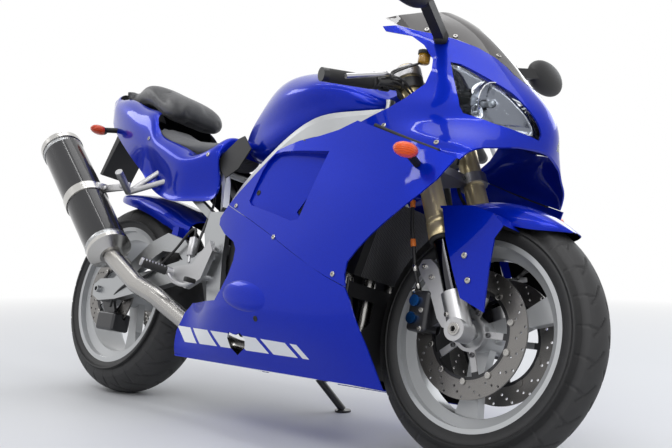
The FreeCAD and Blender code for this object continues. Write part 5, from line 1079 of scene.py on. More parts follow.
def chain_pins():
    """The pins' places, one pitch apart, and the chain's direction at each."""
    span = OUTPUT_SHAFT - REAR_AXLE
    reach = span.length
    line = math.atan2(span.z, span.x)
    lean = math.acos((REAR_RADIUS - FRONT_RADIUS) / reach)
    straight = math.sqrt(reach ** 2 - (REAR_RADIUS - FRONT_RADIUS) ** 2)
    runs = [(straight, REAR_AXLE, REAR_RADIUS, line + lean, 0.0),
            (FRONT_RADIUS * 2 * lean, OUTPUT_SHAFT, FRONT_RADIUS, line + lean, -1 / FRONT_RADIUS),
            (straight, OUTPUT_SHAFT, FRONT_RADIUS, line - lean, 0.0),
            (REAR_RADIUS * (2 * math.pi - 2 * lean), REAR_AXLE, REAR_RADIUS, line - lean, -1 / REAR_RADIUS)]
    total = sum(run[0] for run in runs)
    links = 2 * round(total / PITCH / 2)
    pins = []
    for index in range(links):
        left = total * index / links
        for length, centre, radius, turn, bend in runs:
            if left < length:
                break
            left -= length
        angle = turn + bend * left
        out = Vector((math.cos(angle), 0, math.sin(angle)))
        ahead = Vector((math.sin(angle), 0, -math.cos(angle)))
        spot = centre + out * radius + (ahead * left if bend == 0 else Vector())
        pins.append((spot, ahead))
    return pins


# %% Chain plates and rivets
CHAIN_LINE = 112
PLATE_SIDE = 9.4
RIVET_STEP = 0.9


def plate_shape(add, sizes):
    """Two round ends and a bridge between them."""
    parts = []
    for way in (-0.5, 0.5):
        end = add("GeometryNodeMeshCylinder", {"fill_type": "NGON"}, {
            "Vertices": 12, "Radius": sizes["Half height"], "Depth": sizes["Thickness"]})
        half = add("ShaderNodeMath", {"operation": "MULTIPLY"}, {0: sizes["Pitch"], 1: way})
        place = add("ShaderNodeCombineXYZ", {}, {0: half.outputs[0]})
        parts.append(add("GeometryNodeTransform", {}, {
            "Geometry": end.outputs["Mesh"], "Translation": place.outputs[0]}))
    waist = add("ShaderNodeCombineXYZ", {}, {
        0: sizes["Pitch"], 1: sizes["Half height"], 2: sizes["Thickness"]})
    parts.append(add("GeometryNodeMeshCube", {}, {"Size": waist.outputs[0]}))
    whole = add("GeometryNodeJoinGeometry", {}, {})
    for part in parts:
        whole.id_data.links.new(part.outputs[0], whole.inputs[0])
    return whole.outputs[0]


PLATE_SIZES = {"Pitch": PITCH / 1000, "Half height": 0.0072, "Thickness": 0.0016}
PLATES = repeat_tree("chain_plates", PLATE_SIZES, plate_shape)
pins = chain_pins()
plates, rivets = [], []
for index, (spot, ahead) in enumerate(pins):
    after = pins[(index + 1) % len(pins)][0]
    for side in (-1, 1):
        outwards = Vector((0, side, 0))
        away = Vector((0, CHAIN_LINE, 0)) + outwards * PLATE_SIDE
        if index % 2 == 0:
            plates.append(((spot + after) / 2 + away, outwards, after - spot))
        rivets.append((spot + away + outwards * RIVET_STEP, outwards))
repeated("chain_plates", PLATES, plates, BARE_STEEL, "chassis", PLATE_SIZES)
screws("chain_rivets", rivets, "chassis", 2.6, 2.2, share=0.4)

# %% [markdown]
# ## Boxes, rings and rods
# Castings such as a master cylinder or a switch box are a rounded outline drawn along a line, with
# a small chamfer at both ends. Rings, caps and nuts are lathe shapes.

# %% Rounded beams
def rounded(width, height, corner, steps=4):
    """A rounded rectangle as (across, up) pairs."""
    radius = corner * min(width, height)
    points = []
    for quarter, (a, b) in enumerate(((1, 1), (-1, 1), (-1, -1), (1, -1))):
        centre = (a * (width / 2 - radius), b * (height / 2 - radius))
        for step in range(steps + 1):
            turn = math.pi / 2 * (quarter + step / steps)
            points.append((centre[0] + radius * math.cos(turn), centre[1] + radius * math.sin(turn)))
    return points


def beam(start, end, width, height, up=(0, 0, 1), chamfer=2.0, corner=0.3):
    """A solid bar with a rounded outline and chamfered ends."""
    start, end = Vector(start), Vector(end)
    ahead = (end - start).normalized()
    across = ahead.cross(Vector(up)).normalized()
    rise = across.cross(ahead)
    length = (end - start).length
    outline = rounded(width, height, corner)
    small = 1 - 2 * chamfer / min(width, height)
    vertices = []
    for run, grow in ((0, small), (chamfer, 1), (length - chamfer, 1), (length, small)):
        for a, b in outline:
            vertices.append(start + ahead * run + across * (a * grow) + rise * (b * grow))
    count = len(outline)
    faces = quads(4, count)
    faces.append(tuple(reversed(range(count))))
    faces.append(tuple(range(3 * count, 4 * count)))
    return vertices, faces


def ring(inner, outer, start, end, foot, direction, sides=32, edge=0.8):
    """A closed ring between two radii and two heights, with softened outer edges."""
    profile = [(inner, start), (outer - edge, start), (outer, start + edge), (outer, end - edge),
               (outer - edge, end), (inner, end), (inner, start)]
    return turned(profile, foot, direction, sides)


def plug(radius, start, end, foot, direction, sides=32, edge=1.0):
    """A closed drum with a softened top edge."""
    profile = [(0, start), (radius, start), (radius, end - edge), (radius - edge, end), (0, end)]
    return turned(profile, foot, direction, sides)


def two_sided(name, shapes, material, body, smooth=True):
    """The shapes and their mirror images as one piece."""
    add_piece(name, *joined(shapes + [flipped(shape) for shape in shapes]), material, body, smooth)


# %% [markdown]
# ## Fork fittings
# The gold tubes end in a collar and a rubber seal where the thinner tubes slide in. On top sit turned
# caps with a small blue damping screw. The axle end shows as a stepped ring in the casting.

# %% Seals, caps and the axle's ends
def on_fork(along, across):
    """A point on the fork's centre line, a distance above the front axle."""
    return FRONT_AXLE + STEER_AXIS * along + Vector((0, across, 0))


BLUE_ANODISED = Look("blue_anodised").surface((0.02, 0.09, 0.42), 0.28, 1.0, Coat_Weight=0.3)
tube_foot = on_fork(232, FORK_SIDE)
two_sided("fork_seals", [ring(20.9, 29, -9, 0, tube_foot, STEER_AXIS)], SOFT_RUBBER, "steering")
two_sided("fork_collars", [ring(27.6, 29.4, 0.5, 34, tube_foot, STEER_AXIS),
                           ring(27.6, 28.6, 34, 48, tube_foot, STEER_AXIS)], GOLD_TUBE, "steering")
tube_top = on_fork(712, FORK_SIDE)
two_sided("fork_caps", [plug(25, -3, 4, tube_top, STEER_AXIS),
                        plug(15, 4, 9, tube_top, STEER_AXIS, 6)], SATIN_ALLOY, "steering", False)
two_sided("damping_screws", [plug(7, 9, 15, tube_top, STEER_AXIS)], BLUE_ANODISED, "steering")
axle_end = FRONT_AXLE + Vector((0, -130.5, 0))
two_sided("axle_ends", [ring(8, 15, 0, 3, axle_end, (0, -1, 0)),
                        ring(7.2, 10, 3, 4.5, axle_end, (0, -1, 0), 6)], BARE_STEEL, "steering", False)

# %% [markdown]
# ## Screws of the fork
# The castings, the calipers and both clamps have their own screws. Those of the clamps sit on their
# front faces, so the ray comes from ahead.

# %% Casting, caliper and clamp screws
castings = [on_flank("fork_legs", x, z) for x, z in ((575, 440), (600, 415), (672, 330))]
castings += [on_flank("front_calipers", x, z) for x, z in ((592, 294), (556, 380), (590, 336))]
screws("fork_screws", both(castings), "steering", 6.5, 7)
clamps = [touch("fork_clamps", on_fork(along, -60) + Vector((200, 0, 0)), (-1, 0, 0))
          for along in (446, 690)]
screws("clamp_screws", both(clamps), "steering", 5.5, 6, DARK_STEEL)

# %% [markdown]
# ## Brake hoses' fittings
# Steel ferrules grip the lower end of each hose, and short orange sleeves keep it off the fork. The
# hose's route is the solid's, so the sleeves sit on its straight runs. From the lower clamp a last
# piece of hose, drawn here, goes on up to the master cylinder.

# %% Sleeves, ferrules and the upper hose
ORANGE_RUBBER = Look("orange_rubber").surface((0.75, 0.18, 0.02), 0.5)
HOSE = [Vector(point) for point in ((566, -90, 360), (551, -112, 420), (524, -122, 540), (508, -118, 630),
                                    (493, -88, 668), (498, -52, 704))]


def on_run(index, share):
    """The point at a share of one run of the hose, and the run's direction."""
    return HOSE[index].lerp(HOSE[index + 1], share), (HOSE[index + 1] - HOSE[index]).normalized()


def on_hose(places, length, radius):
    """Short rings round the hose, each at a share of one of its runs."""
    rings = []
    for index, share in places:
        middle, way = on_run(index, share)
        rings.append(ring(4.6, radius, -length / 2, length / 2, middle, way, 20))
    return rings


two_sided("hose_sleeves", on_hose(((1, 0.62), (2, 0.55)), 18, 6.6), ORANGE_RUBBER, "steering")
two_sided("hose_ferrules", on_hose(((0, 0.55), (1, 0.12)), 16, 6.4), BARE_STEEL, "steering")
upper_hose = [(498, -52, 708), (478, -66, 760), (452, -100, 822), (436, -138, 866), (421, -170, 894)]
add_piece("upper_brake_hose", *tube(upper_hose, 4.2, 12), BLACK_PLASTIC, "steering")

# %% [markdown]
# ## Valve stems
# A short rubber stem with a black cap stands on each rim, leaning to the side where a pump fits.

# %% Valve stems
RIM_WELL = 186.5
STEM = [(0, -3), (7, -3), (6.4, 3), (4.6, 9), (4.2, 24), (0, 24)]
STEM_CAP = [(0, 24), (4.9, 24), (4.9, 33), (3.8, 35), (0, 35)]


def valve(axle, turn_degrees, across):
    turn = math.radians(turn_degrees)
    out = Vector((math.cos(turn), 0, math.sin(turn)))
    foot = axle + out * RIM_WELL + Vector((0, across, 0))
    way = (Vector((0, -0.55, 0)) - out).normalized()
    return joined([turned(STEM, foot, way, 16), turned(STEM_CAP, foot, way, 16)])


add_piece("front_valve", *valve(FRONT_AXLE, 62, -6), BLACK_PLASTIC, "front_wheel")
add_piece("rear_valve", *valve(REAR_AXLE, 200, -20), BLACK_PLASTIC, "rear_wheel")

# %% [markdown]
# ## Inside the headlamps
# Behind each clear lens a dark mirrored housing runs back to the bowls, and a chromed dish with a
# capped bulb sits on each bowl. The housing follows the lens opening: its outline is found on the
# lens itself, drawn in and pushed back ring by ring.

# %% Lamp housings
LENS_OUTLINE = [(128, 942), (118, 937), (97, 899), (78, 867), (66, 832), (50, 800), (37, 772), (39, 757),
                (90, 762), (130, 772), (148, 783), (164, 792), (164, 811), (156, 845), (142, 897)]
AIM_SHARES = (0.93, 0.86, 0.78, 0.7, 0.6, 0.4)
HOUSING_SHARES = (0.95, 0.86, 0.66, 0.4)
HOUSING_DEPTHS = (13, 24, 46, 70)
BOWL_EDGE = 648
NO_LENS = 640


def closed_shell(rings, push):
    """A thin closed sheet through rings of points, capped at the last ring; push is its thickness."""
    count = len(rings[0])
    front = [point for points in rings for point in points]
    front.append(sum(rings[-1], Vector()) / count)
    total = len(front)
    last = (len(rings) - 1) * count
    sheet = quads(len(rings), count)
    sheet += [(last + index, last + (index + 1) % count, total - 1) for index in range(count)]
    faces = sheet + [tuple(corner + total for corner in reversed(face)) for face in sheet]
    for index in range(count):
        after = (index + 1) % count
        faces.append((index, index + total, after + total, after))
    return front + [point + push for point in front], faces


def fine_outline(points, steps=3):
    """More points along a closed outline."""
    line = []
    for index, (y, z) in enumerate(points):
        next_y, next_z = points[(index + 1) % len(points)]
        line += [(y + (next_y - y) * step / steps, z + (next_z - z) * step / steps) for step in range(steps)]
    return line


def lens_depth(y, z, middle):
    """How far forward the lens is near an outline point, tried further and further in."""
    for share in AIM_SHARES:
        found = touch("headlamps", (900, -middle[0] - (y - middle[0]) * share,
                                    middle[1] + (z - middle[1]) * share), (-1, 0, 0))
        if found:
            return found[0].x
    return NO_LENS


def lamp_housing():
    outline = fine_outline(LENS_OUTLINE)
    middle = (sum(y for y, z in outline) / len(outline), sum(z for y, z in outline) / len(outline))
    rings = [[] for share in HOUSING_SHARES]
    for y, z in outline:
        x = lens_depth(y, z, middle)
        for level, (grow, back) in enumerate(zip(HOUSING_SHARES, HOUSING_DEPTHS)):
            depth = x - back if level < 2 else min(x - back, BOWL_EDGE)
            rings[level].append(Vector((depth, -(middle[0] + (y - middle[0]) * grow),
                                        middle[1] + (z - middle[1]) * grow)))
    return closed_shell(rings, Vector((-3, 0, 0)))


# %% Dishes and bulb caps
LAMP_BACK = Look("lamp_back").surface((0.26, 0.26, 0.28), 0.12, 1.0)
LAMP_BOWL = Look("lamp_bowl").surface((0.93, 0.93, 0.95), 0.05, 1.0)
BOWL_WAY = (BOWL_END - BOWL_START).normalized()
DISH_FOOT = BOWL_END + BOWL_WAY * 2
SMALL_FOOT, SMALL_WAY = Vector((661, -126, 806)), (1, -0.25, 0)
BULB_CAP = [(0, 2), (6, 2), (6.5, 12), (9, 13), (9, 22), (6, 27), (0, 28)]
SMALL_CAP = [(0, 0), (3.5, 0), (3.5, 8), (0, 10)]


def dish(foot, way, radius, depth, sides):
    """A chromed dish of flat facets: hollow towards the lens, with a thin wall."""
    inside = [(radius * step / 6, 0.5 + depth * (step / 6) ** 2) for step in range(7)]
    rim = [(radius + 1.5, depth + 0.5), (radius + 1.5, depth - 1.5)]
    outside = [(radius * step / 6, depth * (step / 6) ** 2 - 1.5) for step in range(5, -1, -1)]
    return turned(inside + rim + outside, foot, way, sides)


two_sided("lamp_housings", [lamp_housing()], LAMP_BACK, "chassis")
two_sided("lamp_dishes", [dish(DISH_FOOT, BOWL_WAY, 50, 22, 18),
                          dish(SMALL_FOOT, SMALL_WAY, 17, 8, 14)], LAMP_BOWL, "chassis", False)
two_sided("bulb_caps", [turned(BULB_CAP, DISH_FOOT, BOWL_WAY, 24),
                        turned(SMALL_CAP, SMALL_FOOT, SMALL_WAY, 16)], SATIN_ALLOY, "chassis")

# %% [markdown]
# ## Mirror glass
# The glass is a slightly domed plate in the back of each mirror shell, just proud of it, so it follows
# the shell's own oval.

# %% Mirror glass
CHROME = Look("chrome").surface((0.78, 0.78, 0.80), 0.07, 1.0)
SHELL_CENTRE = Vector((555, -305, 1062))
SHELL_HALF = Vector((31.2, 78, 45.2))
GLASS_SHARES = (0.80, 0.78, 0.55, 0.28)
GLASS_PROUD = (0.4, 1.8, 1.8, 1.8)


def mirror_glass():
    rings = []
    for share, proud in zip(GLASS_SHARES, GLASS_PROUD):
        back = -SHELL_HALF.x * math.sqrt(1 - share * share) - proud
        points = []
        for index in range(36):
            turn = 2 * math.pi * index / 36
            points.append(SHELL_CENTRE + Vector((back, SHELL_HALF.y * share * math.cos(turn),
                                                 SHELL_HALF.z * share * math.sin(turn))))
        rings.append(points)
    return closed_shell(rings, Vector((3, 0, 0)))


two_sided("mirror_glass", [mirror_glass()], CHROME, "chassis")

# %% [markdown]
# ## Dials
# The rider sees one round rev counter beside a small display, both in a dark face. Ticks round the
# dial are painted by its own angle, so no lettering is needed.

# %% Dial face
DIAL_AT, DIAL_OUT = touch("instrument_pod", (300, 30, 935), (1, 0, 0))
DISPLAY_AT = touch("instrument_pod", (300, -42, 935), (1, 0, 0))[0]
DIAL_UP = DIAL_OUT.cross(Vector((0, 1, 0)))
print("pod's back face:", DIAL_AT, "facing", DIAL_OUT)
TICK_START, LONG_TICK_START, TICK_END = 0.0245, 0.0215, 0.0285
HAND_HALF, HAND_REACH, HAND_TAIL = 0.0009, 0.022, 0.003
TICKS_ROUND = 60


def from_middle(turn):
    """How far a number is from the middle between two whole ones."""
    return (turn.math("FRACT") - 0.5).math("ABSOLUTE")


def dial_look(centre, outward):
    """Sixty ticks, each fifth one longer, and a red hand."""
    look = Look("dial_face")
    x, y, z = look.axes(look.upright())
    up = outward.cross(Vector((0, 1, 0)))
    if up.z < 0:
        up.negate()
    across = y - centre.y / 1000
    rise = (x - centre.x / 1000) * up.x + (z - centre.z / 1000) * up.z
    reach = (across * across + rise * rise).math("SQRT")
    turn = rise.math("ARCTAN2", across) * (TICKS_ROUND / 2 / math.pi)
    ticks = (from_middle(turn) > 0.42) * (reach > TICK_START) * (reach < TICK_END)
    long_ticks = (from_middle(turn * 0.2) > 0.47) * (reach > LONG_TICK_START) * (reach < TICK_END)
    hand = (((across + rise).math("ABSOLUTE") < HAND_HALF) * (reach < HAND_REACH)
            * (across < HAND_TAIL))
    face = look.mix((ticks + long_ticks).clamp(), (0.01, 0.01, 0.012), (0.85, 0.86, 0.85))
    return look.surface(look.mix(hand, face, (0.8, 0.08, 0.02)), 0.35, Coat_Weight=1.0)


DISPLAY_GLASS = Look("display_glass").surface((0.16, 0.19, 0.15), 0.15, Coat_Weight=1.0)
add_piece("dial_rim", *ring(30, 34, -1, 4, DIAL_AT, DIAL_OUT, 40), BLACK_METAL, "chassis")
add_piece("dial_face", *plug(30.5, -1, 1.2, DIAL_AT, DIAL_OUT, 40), dial_look(DIAL_AT, DIAL_OUT), "chassis")
display = beam(DISPLAY_AT - DIAL_OUT, DISPLAY_AT + DIAL_OUT * 1.5, 52, 34, DIAL_UP, 0.6, 0.12)
add_piece("display", *display, DISPLAY_GLASS, "chassis", False)

# %% [markdown]
# ## Handlebar controls
# Between grip and clamp each bar carries a switch box and a cast body at the lever's root: the
# brake's master cylinder on the right and the holder of the clutch cable on the left. The front
# brake's amber fluid cup stands beside the cowl on the right. All of them turn with the bars.

# %% Switch boxes and master cylinders
CLAMP_MIDDLE = on_fork(654, FORK_SIDE)
BAR_END = Vector((362, -330, 855))
BAR_WAY = (BAR_END - CLAMP_MIDDLE).normalized()
GRIP_START = BAR_END - BAR_WAY * 122
MOUNT = GRIP_START - BAR_WAY * 52
AHEAD = (Vector((1, 0, 0)) - BAR_WAY * BAR_WAY.x).normalized()
ABOVE = (Vector((0, 0, 1)) - BAR_WAY * BAR_WAY.z).normalized()
UPRIGHT = (0, 0, 1)

box_middle = GRIP_START + ABOVE * 6
two_sided("switch_boxes", [beam(box_middle - BAR_WAY * 28, box_middle - BAR_WAY, 34, 40, UPRIGHT, 4)],
          BLACK_PLASTIC, "steering")
button = GRIP_START - BAR_WAY * 15 - AHEAD * 20
low_button = button - ABOVE * 8
right_buttons = [plug(5, -2, 4, button + ABOVE * 9, -AHEAD, 20),
                 beam(low_button - BAR_WAY * 6, low_button + BAR_WAY * 6, 7, 7, UPRIGHT, 1)]
left_buttons = [plug(4, -2, 4, button + ABOVE * 10, -AHEAD, 20),
                beam(button - BAR_WAY * 7, button + BAR_WAY * 7, 6, 8, UPRIGHT, 1),
                plug(5, -2, 3, button - ABOVE * 11, -AHEAD, 20)]
RED_SWITCH = Look("red_switch").surface((0.45, 0.03, 0.02), 0.4)
add_piece("switches", *joined(right_buttons), RED_SWITCH, "steering")
add_piece("left_switches", *joined(flipped(shape) for shape in left_buttons), DARK_STEEL, "steering")

body_middle = MOUNT + AHEAD * 22 + ABOVE * 2
body_start, body_end = body_middle - BAR_WAY * 22, body_middle + BAR_WAY * 44
clamp_foot = MOUNT + BAR_WAY * 6
two_sided("master_cylinders", [beam(body_start, body_end, 24, 24, UPRIGHT, 3, 0.4),
                               plug(9, 0, 12, body_start, -BAR_WAY, 24),
                               beam(clamp_foot + AHEAD * 12, clamp_foot + AHEAD * 26, 20, 26, UPRIGHT, 1.5)],
          BLACK_METAL, "steering")

# %% [markdown]
# ## Fluid cups
# A fluid cup is a clear amber pot with a ribbed black lid, on a bent steel strip, with a short hose.

# %% Front and rear fluid cups
AMBER_CUP = Look("amber_cup").surface((0.55, 0.30, 0.03), 0.2, Transmission_Weight=0.35, Coat_Weight=0.6)
LID_POINTS, LID_HEIGHT = 72, 9
RIB_REACH, GROOVE_REACH = 2.4, 1.2


def cup(name, foot, radius, height, body):
    """An amber pot and a black lid whose edge steps out and in, two points at a time."""
    pot = [(0, 0), (radius * 0.8, 0), (radius, 3), (radius, height), (0, height)]
    add_piece(name + "_pot", *turned(pot, foot, UPRIGHT, 36), AMBER_CUP, body)
    lid = []
    for index in range(LID_POINTS):
        turn = 2 * math.pi * index / LID_POINTS
        reach = radius + (RIB_REACH if index % 4 < 2 else GROOVE_REACH)
        lid.append(foot + Vector((reach * math.cos(turn), reach * math.sin(turn), height)))
    add_piece(name + "_lid", *slab(lid, Vector((0, 0, LID_HEIGHT))), BLACK_PLASTIC, body, False)


FRONT_CUP, REAR_CUP = Vector((474, -118, 952)), Vector((-261, -118, 634))
cup("front_cup", FRONT_CUP, 15, 24, "steering")
strip = [clamp_foot + AHEAD * 22, MOUNT + AHEAD * 24 + ABOVE * 26, FRONT_CUP + Vector((-4, -6, 1))]
cup_hose = [body_start + ABOVE * 8, MOUNT + AHEAD * 19 + ABOVE * 30, FRONT_CUP + Vector((-10, -4, 1))]
add_piece("front_cup_strip", *joined([tube(strip, 2.6), tube(cup_hose, 3.2)]), BLACK_METAL, "steering")
cup("rear_cup", REAR_CUP, 16, 30, "chassis")
rear_hose = [(-258, -112, 640), (-252, -112, 600), (-232, -140, 540), (-205, -176, 470), (-196, -186, 430)]
add_piece("rear_cup_hose", *tube(rear_hose, 4), BLACK_PLASTIC, "chassis")

# %% [markdown]
# ## Cables
# The clutch cable leaves the left bar and the throttle cables the right one. They ride with the bars
# down to the steering stem, where the real ones start to flex.

# %% Cables at the bars
lever_side = Vector((MOUNT.x + 30, 8 - MOUNT.y, MOUNT.z + 4))
cables = [tube([lever_side, (468, 132, 878), (486, 92, 836), (492, 66, 790), (494, 56, 742)], 3.2)]
throttle = GRIP_START - BAR_WAY * 14 + AHEAD * 14
for shift in (0, 9):
    route = [throttle + ABOVE * (shift - 6), (446 + shift, -176, 886 + shift), (462 + shift, -118, 862),
             (474 + shift, -70, 812), (484 + shift, -44, 752)]
    cables.append(tube(route, 2.8))
add_piece("cables", *joined(cables), BLACK_PLASTIC, "steering")

# %% [markdown]
# ## Tank cap
# The tank's cap is an aircraft type, a ring of screws round a hinged lid.

# %% Lid and its screws
cap_at = touch("fuel_cap", (60, 0, 1200), (0, 0, -1))[0]
lid = [plug(30, -0.5, 3, cap_at, UPRIGHT, 48),
       plug(9, 3, 4.4, cap_at + Vector((-8, 0, 0)), UPRIGHT, 24)]
add_piece("cap_lid", *joined(lid), CAST_ALLOY, "chassis")
screws("cap_screws", [(cap_at + Vector((42 * math.cos(turn), 42 * math.sin(turn), 0)), Vector(UPRIGHT))
                      for turn in [math.pi * index / 4 for index in range(8)]], "chassis", 4, 3)

# %% [markdown]
# ## Silencer fittings
# Two rows of rivets through thin satin bands hold the sleeve to its end caps, and the gas leaves by
# a short rolled pipe.

# %% Rivets, bands and outlet
side_way, top_way = frame_of(SILENCER_WAY)
RIVETS_ROUND, RIVET_REACH, RIVET_RUN = 16, 67.2, 44
BAND_INNER, BAND_OUTER, BAND_START, BAND_END = 66.6, 68.4, 34, 52
OUTLET = [(24, -30), (26.5, -30), (26.5, 8), (30, 12), (29, 14), (24, 9), (24, -30)]


def round_silencer(run):
    """A circle of places on the sleeve, each facing outwards."""
    spots = []
    for index in range(RIVETS_ROUND):
        turn = 2 * math.pi * index / RIVETS_ROUND
        out = side_way * math.cos(turn) + top_way * math.sin(turn)
        spots.append((SILENCER_LOW + SILENCER_WAY * run + out * RIVET_REACH, out))
    return spots


def band(start, end):
    return ring(BAND_INNER, BAND_OUTER, start, end, SILENCER_LOW, SILENCER_WAY, 64)


rivet_spots = round_silencer(RIVET_RUN) + round_silencer(SILENCER_LENGTH - RIVET_RUN)
screws("silencer_rivets", rivet_spots, "chassis", 3.4, 2.2, share=0.4)
bands = [band(BAND_START, BAND_END), band(SILENCER_LENGTH - BAND_END, SILENCER_LENGTH - BAND_START)]
add_piece("cap_bands", *joined(bands), SATIN_ALLOY, "chassis")
add_piece("outlet_pipe", *turned(OUTLET, SILENCER_HIGH, SILENCER_WAY, 40), BARE_STEEL, "chassis")

# %% [markdown]
# ## Foot controls
# The brake pedal on the right and the gear lever on the left turn on the same pivots as the rests.
# Each is a bent steel arm with a small rubber toe piece. Ribbed rubbers cover the rests themselves.

# %% Pedals and rubbers
pedal = tube([(-262, -219, 366), (-225, -222, 346), (-160, -232, 336), (-112, -240, 346)], 6, 12)
toe = beam((-116, -232, 347), (-116, -266, 349), 16, 13)
gear = flipped(tube([(-262, -219, 366), (-215, -224, 362), (-150, -236, 356), (-108, -240, 362)], 6, 12))
gear_toe = flipped(beam((-110, -232, 363), (-110, -268, 365), 15, 15))
add_piece("pedal_arms", *joined([pedal, gear]), CAST_ALLOY, "chassis")
add_piece("toe_rubbers", *joined([toe, gear_toe]), SOFT_RUBBER, "chassis")

PEG_ROOT, PEG_TIP = Vector((-262, -196, 372)), Vector((-300, -292, 385))
RUBBER_START, RIB_STEP, RIB_COUNT = 26, 4.6, 17
ribs = [(13.6 if index % 2 else 12.6, RUBBER_START + index * RIB_STEP) for index in range(RIB_COUNT)]
ribs = [(0, RUBBER_START)] + ribs + [(0, RUBBER_START + (RIB_COUNT - 1) * RIB_STEP)]
two_sided("peg_rubbers", [turned(ribs, PEG_ROOT, PEG_TIP - PEG_ROOT, 24)], SOFT_RUBBER, "chassis")

# %% [markdown]
# ## Rear brake cylinder and hose
# The pedal pushes a small upright master cylinder behind the footrest's plate. Its hose runs along the
# swingarm's inner face to the caliper.

# %% Rear cylinder and hose
master = [beam((-203, -196, 424), (-215, -186, 480), 22, 22, (1, 0, 0)),
          tube([(-196, -203, 404), (-203, -200, 426)], 4)]
add_piece("rear_master_cylinder", *joined(master), CAST_ALLOY, "chassis")
rear_line = [(-214, -186, 478), (-224, -180, 506), (-262, -172, 500), (-330, -166, 440), (-430, -162, 372),
             (-540, -160, 336), (-610, -152, 296), (-640, -138, 262)]
add_piece("rear_brake_hose", *tube(rear_line, 4), BLACK_PLASTIC, "chassis")

# %% [markdown]
# ## Shock absorber spring
# The solid holds the spring's whole space as one drum. The real one is a steel coil round a damper,
# drawn here by a Geometry Nodes tree: a spiral curve with a round outline run along it.

# %% Coil spring
SPRING_SIZES = {"Turns": 6.5, "Reach": 0.026, "Height": 0.12, "Wire": 0.0052}


def spring_tree():
    tree = bpy.data.node_groups.new("coil_spring", "GeometryNodeTree")
    for label, value in SPRING_SIZES.items():
        socket = tree.interface.new_socket(label, in_out="INPUT", socket_type="NodeSocketFloat")
        socket.default_value = value
    tree.interface.new_socket("Finish", in_out="INPUT", socket_type="NodeSocketMaterial")
    tree.interface.new_socket("Spring", in_out="OUTPUT", socket_type="NodeSocketGeometry")
    start = tree.nodes.new("NodeGroupInput")
    end = tree.nodes.new("NodeGroupOutput")
    spiral = tree.nodes.new("GeometryNodeCurveSpiral")
    spiral.inputs["Resolution"].default_value = 32
    wire = tree.nodes.new("GeometryNodeCurvePrimitiveCircle")
    wire.inputs["Resolution"].default_value = 12
    swept = tree.nodes.new("GeometryNodeCurveToMesh")
    swept.inputs["Fill Caps"].default_value = True
    real = tree.nodes.new("GeometryNodeRealizeInstances")
    painted = tree.nodes.new("GeometryNodeSetMaterial")
    for source, target in (
            (start.outputs["Turns"], spiral.inputs["Rotations"]),
            (start.outputs["Reach"], spiral.inputs["Start Radius"]),
            (start.outputs["Reach"], spiral.inputs["End Radius"]),
            (start.outputs["Height"], spiral.inputs["Height"]),
            (start.outputs["Wire"], wire.inputs["Radius"]),
            (spiral.outputs[0], swept.inputs["Curve"]),
            (wire.outputs[0], swept.inputs["Profile Curve"]),
            (swept.outputs[0], real.inputs[0]),
            (real.outputs[0], painted.inputs["Geometry"]),
            (start.outputs["Finish"], painted.inputs["Material"]),
            (painted.outputs[0], end.inputs["Spring"])):
        tree.links.new(source, target)
    return tree


def coil_spring(name, low, high, finish):
    """A coil between two points of the upright machine."""
    piece = bpy.data.objects.new(name, bpy.data.meshes.new(name))
    bpy.context.scene.collection.objects.link(piece)
    sizes = {**SPRING_SIZES, "Height": (high - low).length / 1000}
    coil = run_tree(piece, spring_tree(), {**sizes, "Finish": finish})
    way = (high - low).normalized()
    first, second = frame_of(way)
    stand = Matrix((first, second, way)).transposed().to_4x4()
    coil.transform(TO_ROOM @ Matrix.Translation(low) @ stand @ Matrix.Scale(1000, 4))
    for face in coil.polygons:
        face.use_smooth = True
    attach(piece, "chassis")


SHOCK_LOW = Vector((-0.146 * WHEELBASE, 0, 0.267 * HEIGHT))
SHOCK_HIGH = Vector((-0.126 * WHEELBASE, 0, 0.489 * HEIGHT))
SPRING_PAINT = Look("spring_paint").surface((0.50, 0.50, 0.51), 0.35, 0.3, Coat_Weight=0.5)
coil_spring("shock_spring", SHOCK_LOW.lerp(SHOCK_HIGH, 0.32), SHOCK_LOW.lerp(SHOCK_HIGH, 0.78), SPRING_PAINT)

# %% Damper and its plates
shock_way = (SHOCK_HIGH - SHOCK_LOW).normalized()
shock_long = (SHOCK_HIGH - SHOCK_LOW).length
step_at = shock_long * 0.36
damper = [(0, 0), (17, 0), (17, step_at), (20, step_at), (20, shock_long), (0, shock_long)]
damper_piece = add_piece("shock_damper", *joined([
    turned(damper, SHOCK_LOW, shock_way),
    plug(32, shock_long * 0.28, shock_long * 0.31, SHOCK_LOW, shock_way, 40),
    plug(32, shock_long * 0.79, shock_long * 0.82, SHOCK_LOW, shock_way, 40)]), DARK_STEEL)
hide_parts("rear_shock")

# %% [markdown]
# ## Stays behind the panels
# Two thin rods on each side carry the panels. They are drawn here so that each one ends inside its
# panel, and the rest of the stays are copied from their solid as they are.

# %% Stays and side rods
RODS_BELOW = 770


def stays_without_rods():
    """The solid's stays as they are, less the four side rods, which are drawn anew."""
    mesh = NODES["fairing_stays"].data.copy()
    work = bmesh.new()
    work.from_mesh(mesh)
    bmesh.ops.remove_doubles(work, verts=work.verts, dist=WELD)
    rods = [vertex for vertex in work.verts if (FROM_ROOM @ vertex.co).z < RODS_BELOW]
    bmesh.ops.delete(work, geom=rods, context="VERTS")
    work.to_mesh(mesh)
    work.free()
    stays = bpy.data.objects.new("stays", mesh)
    bpy.context.scene.collection.objects.link(stays)
    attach(stays, "chassis")
    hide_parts("fairing_stays")


stays_without_rods()
low_end = on_flank("lower_fairing_right", 34, 240)[0] + Vector((0, 3.5, 0))
high_end = on_flank("side_fairing_right", 232, 722)[0] + Vector((0, 2.5, 0))
rods = [tube([(34, -149, 246), (34, -190, 244), low_end], 7.5, 16, 2),
        tube([(241, -192, 746), (238, -215, 738), high_end], 7.5, 16, 2)]
two_sided("side_rods", rods, BLACK_METAL, "chassis")

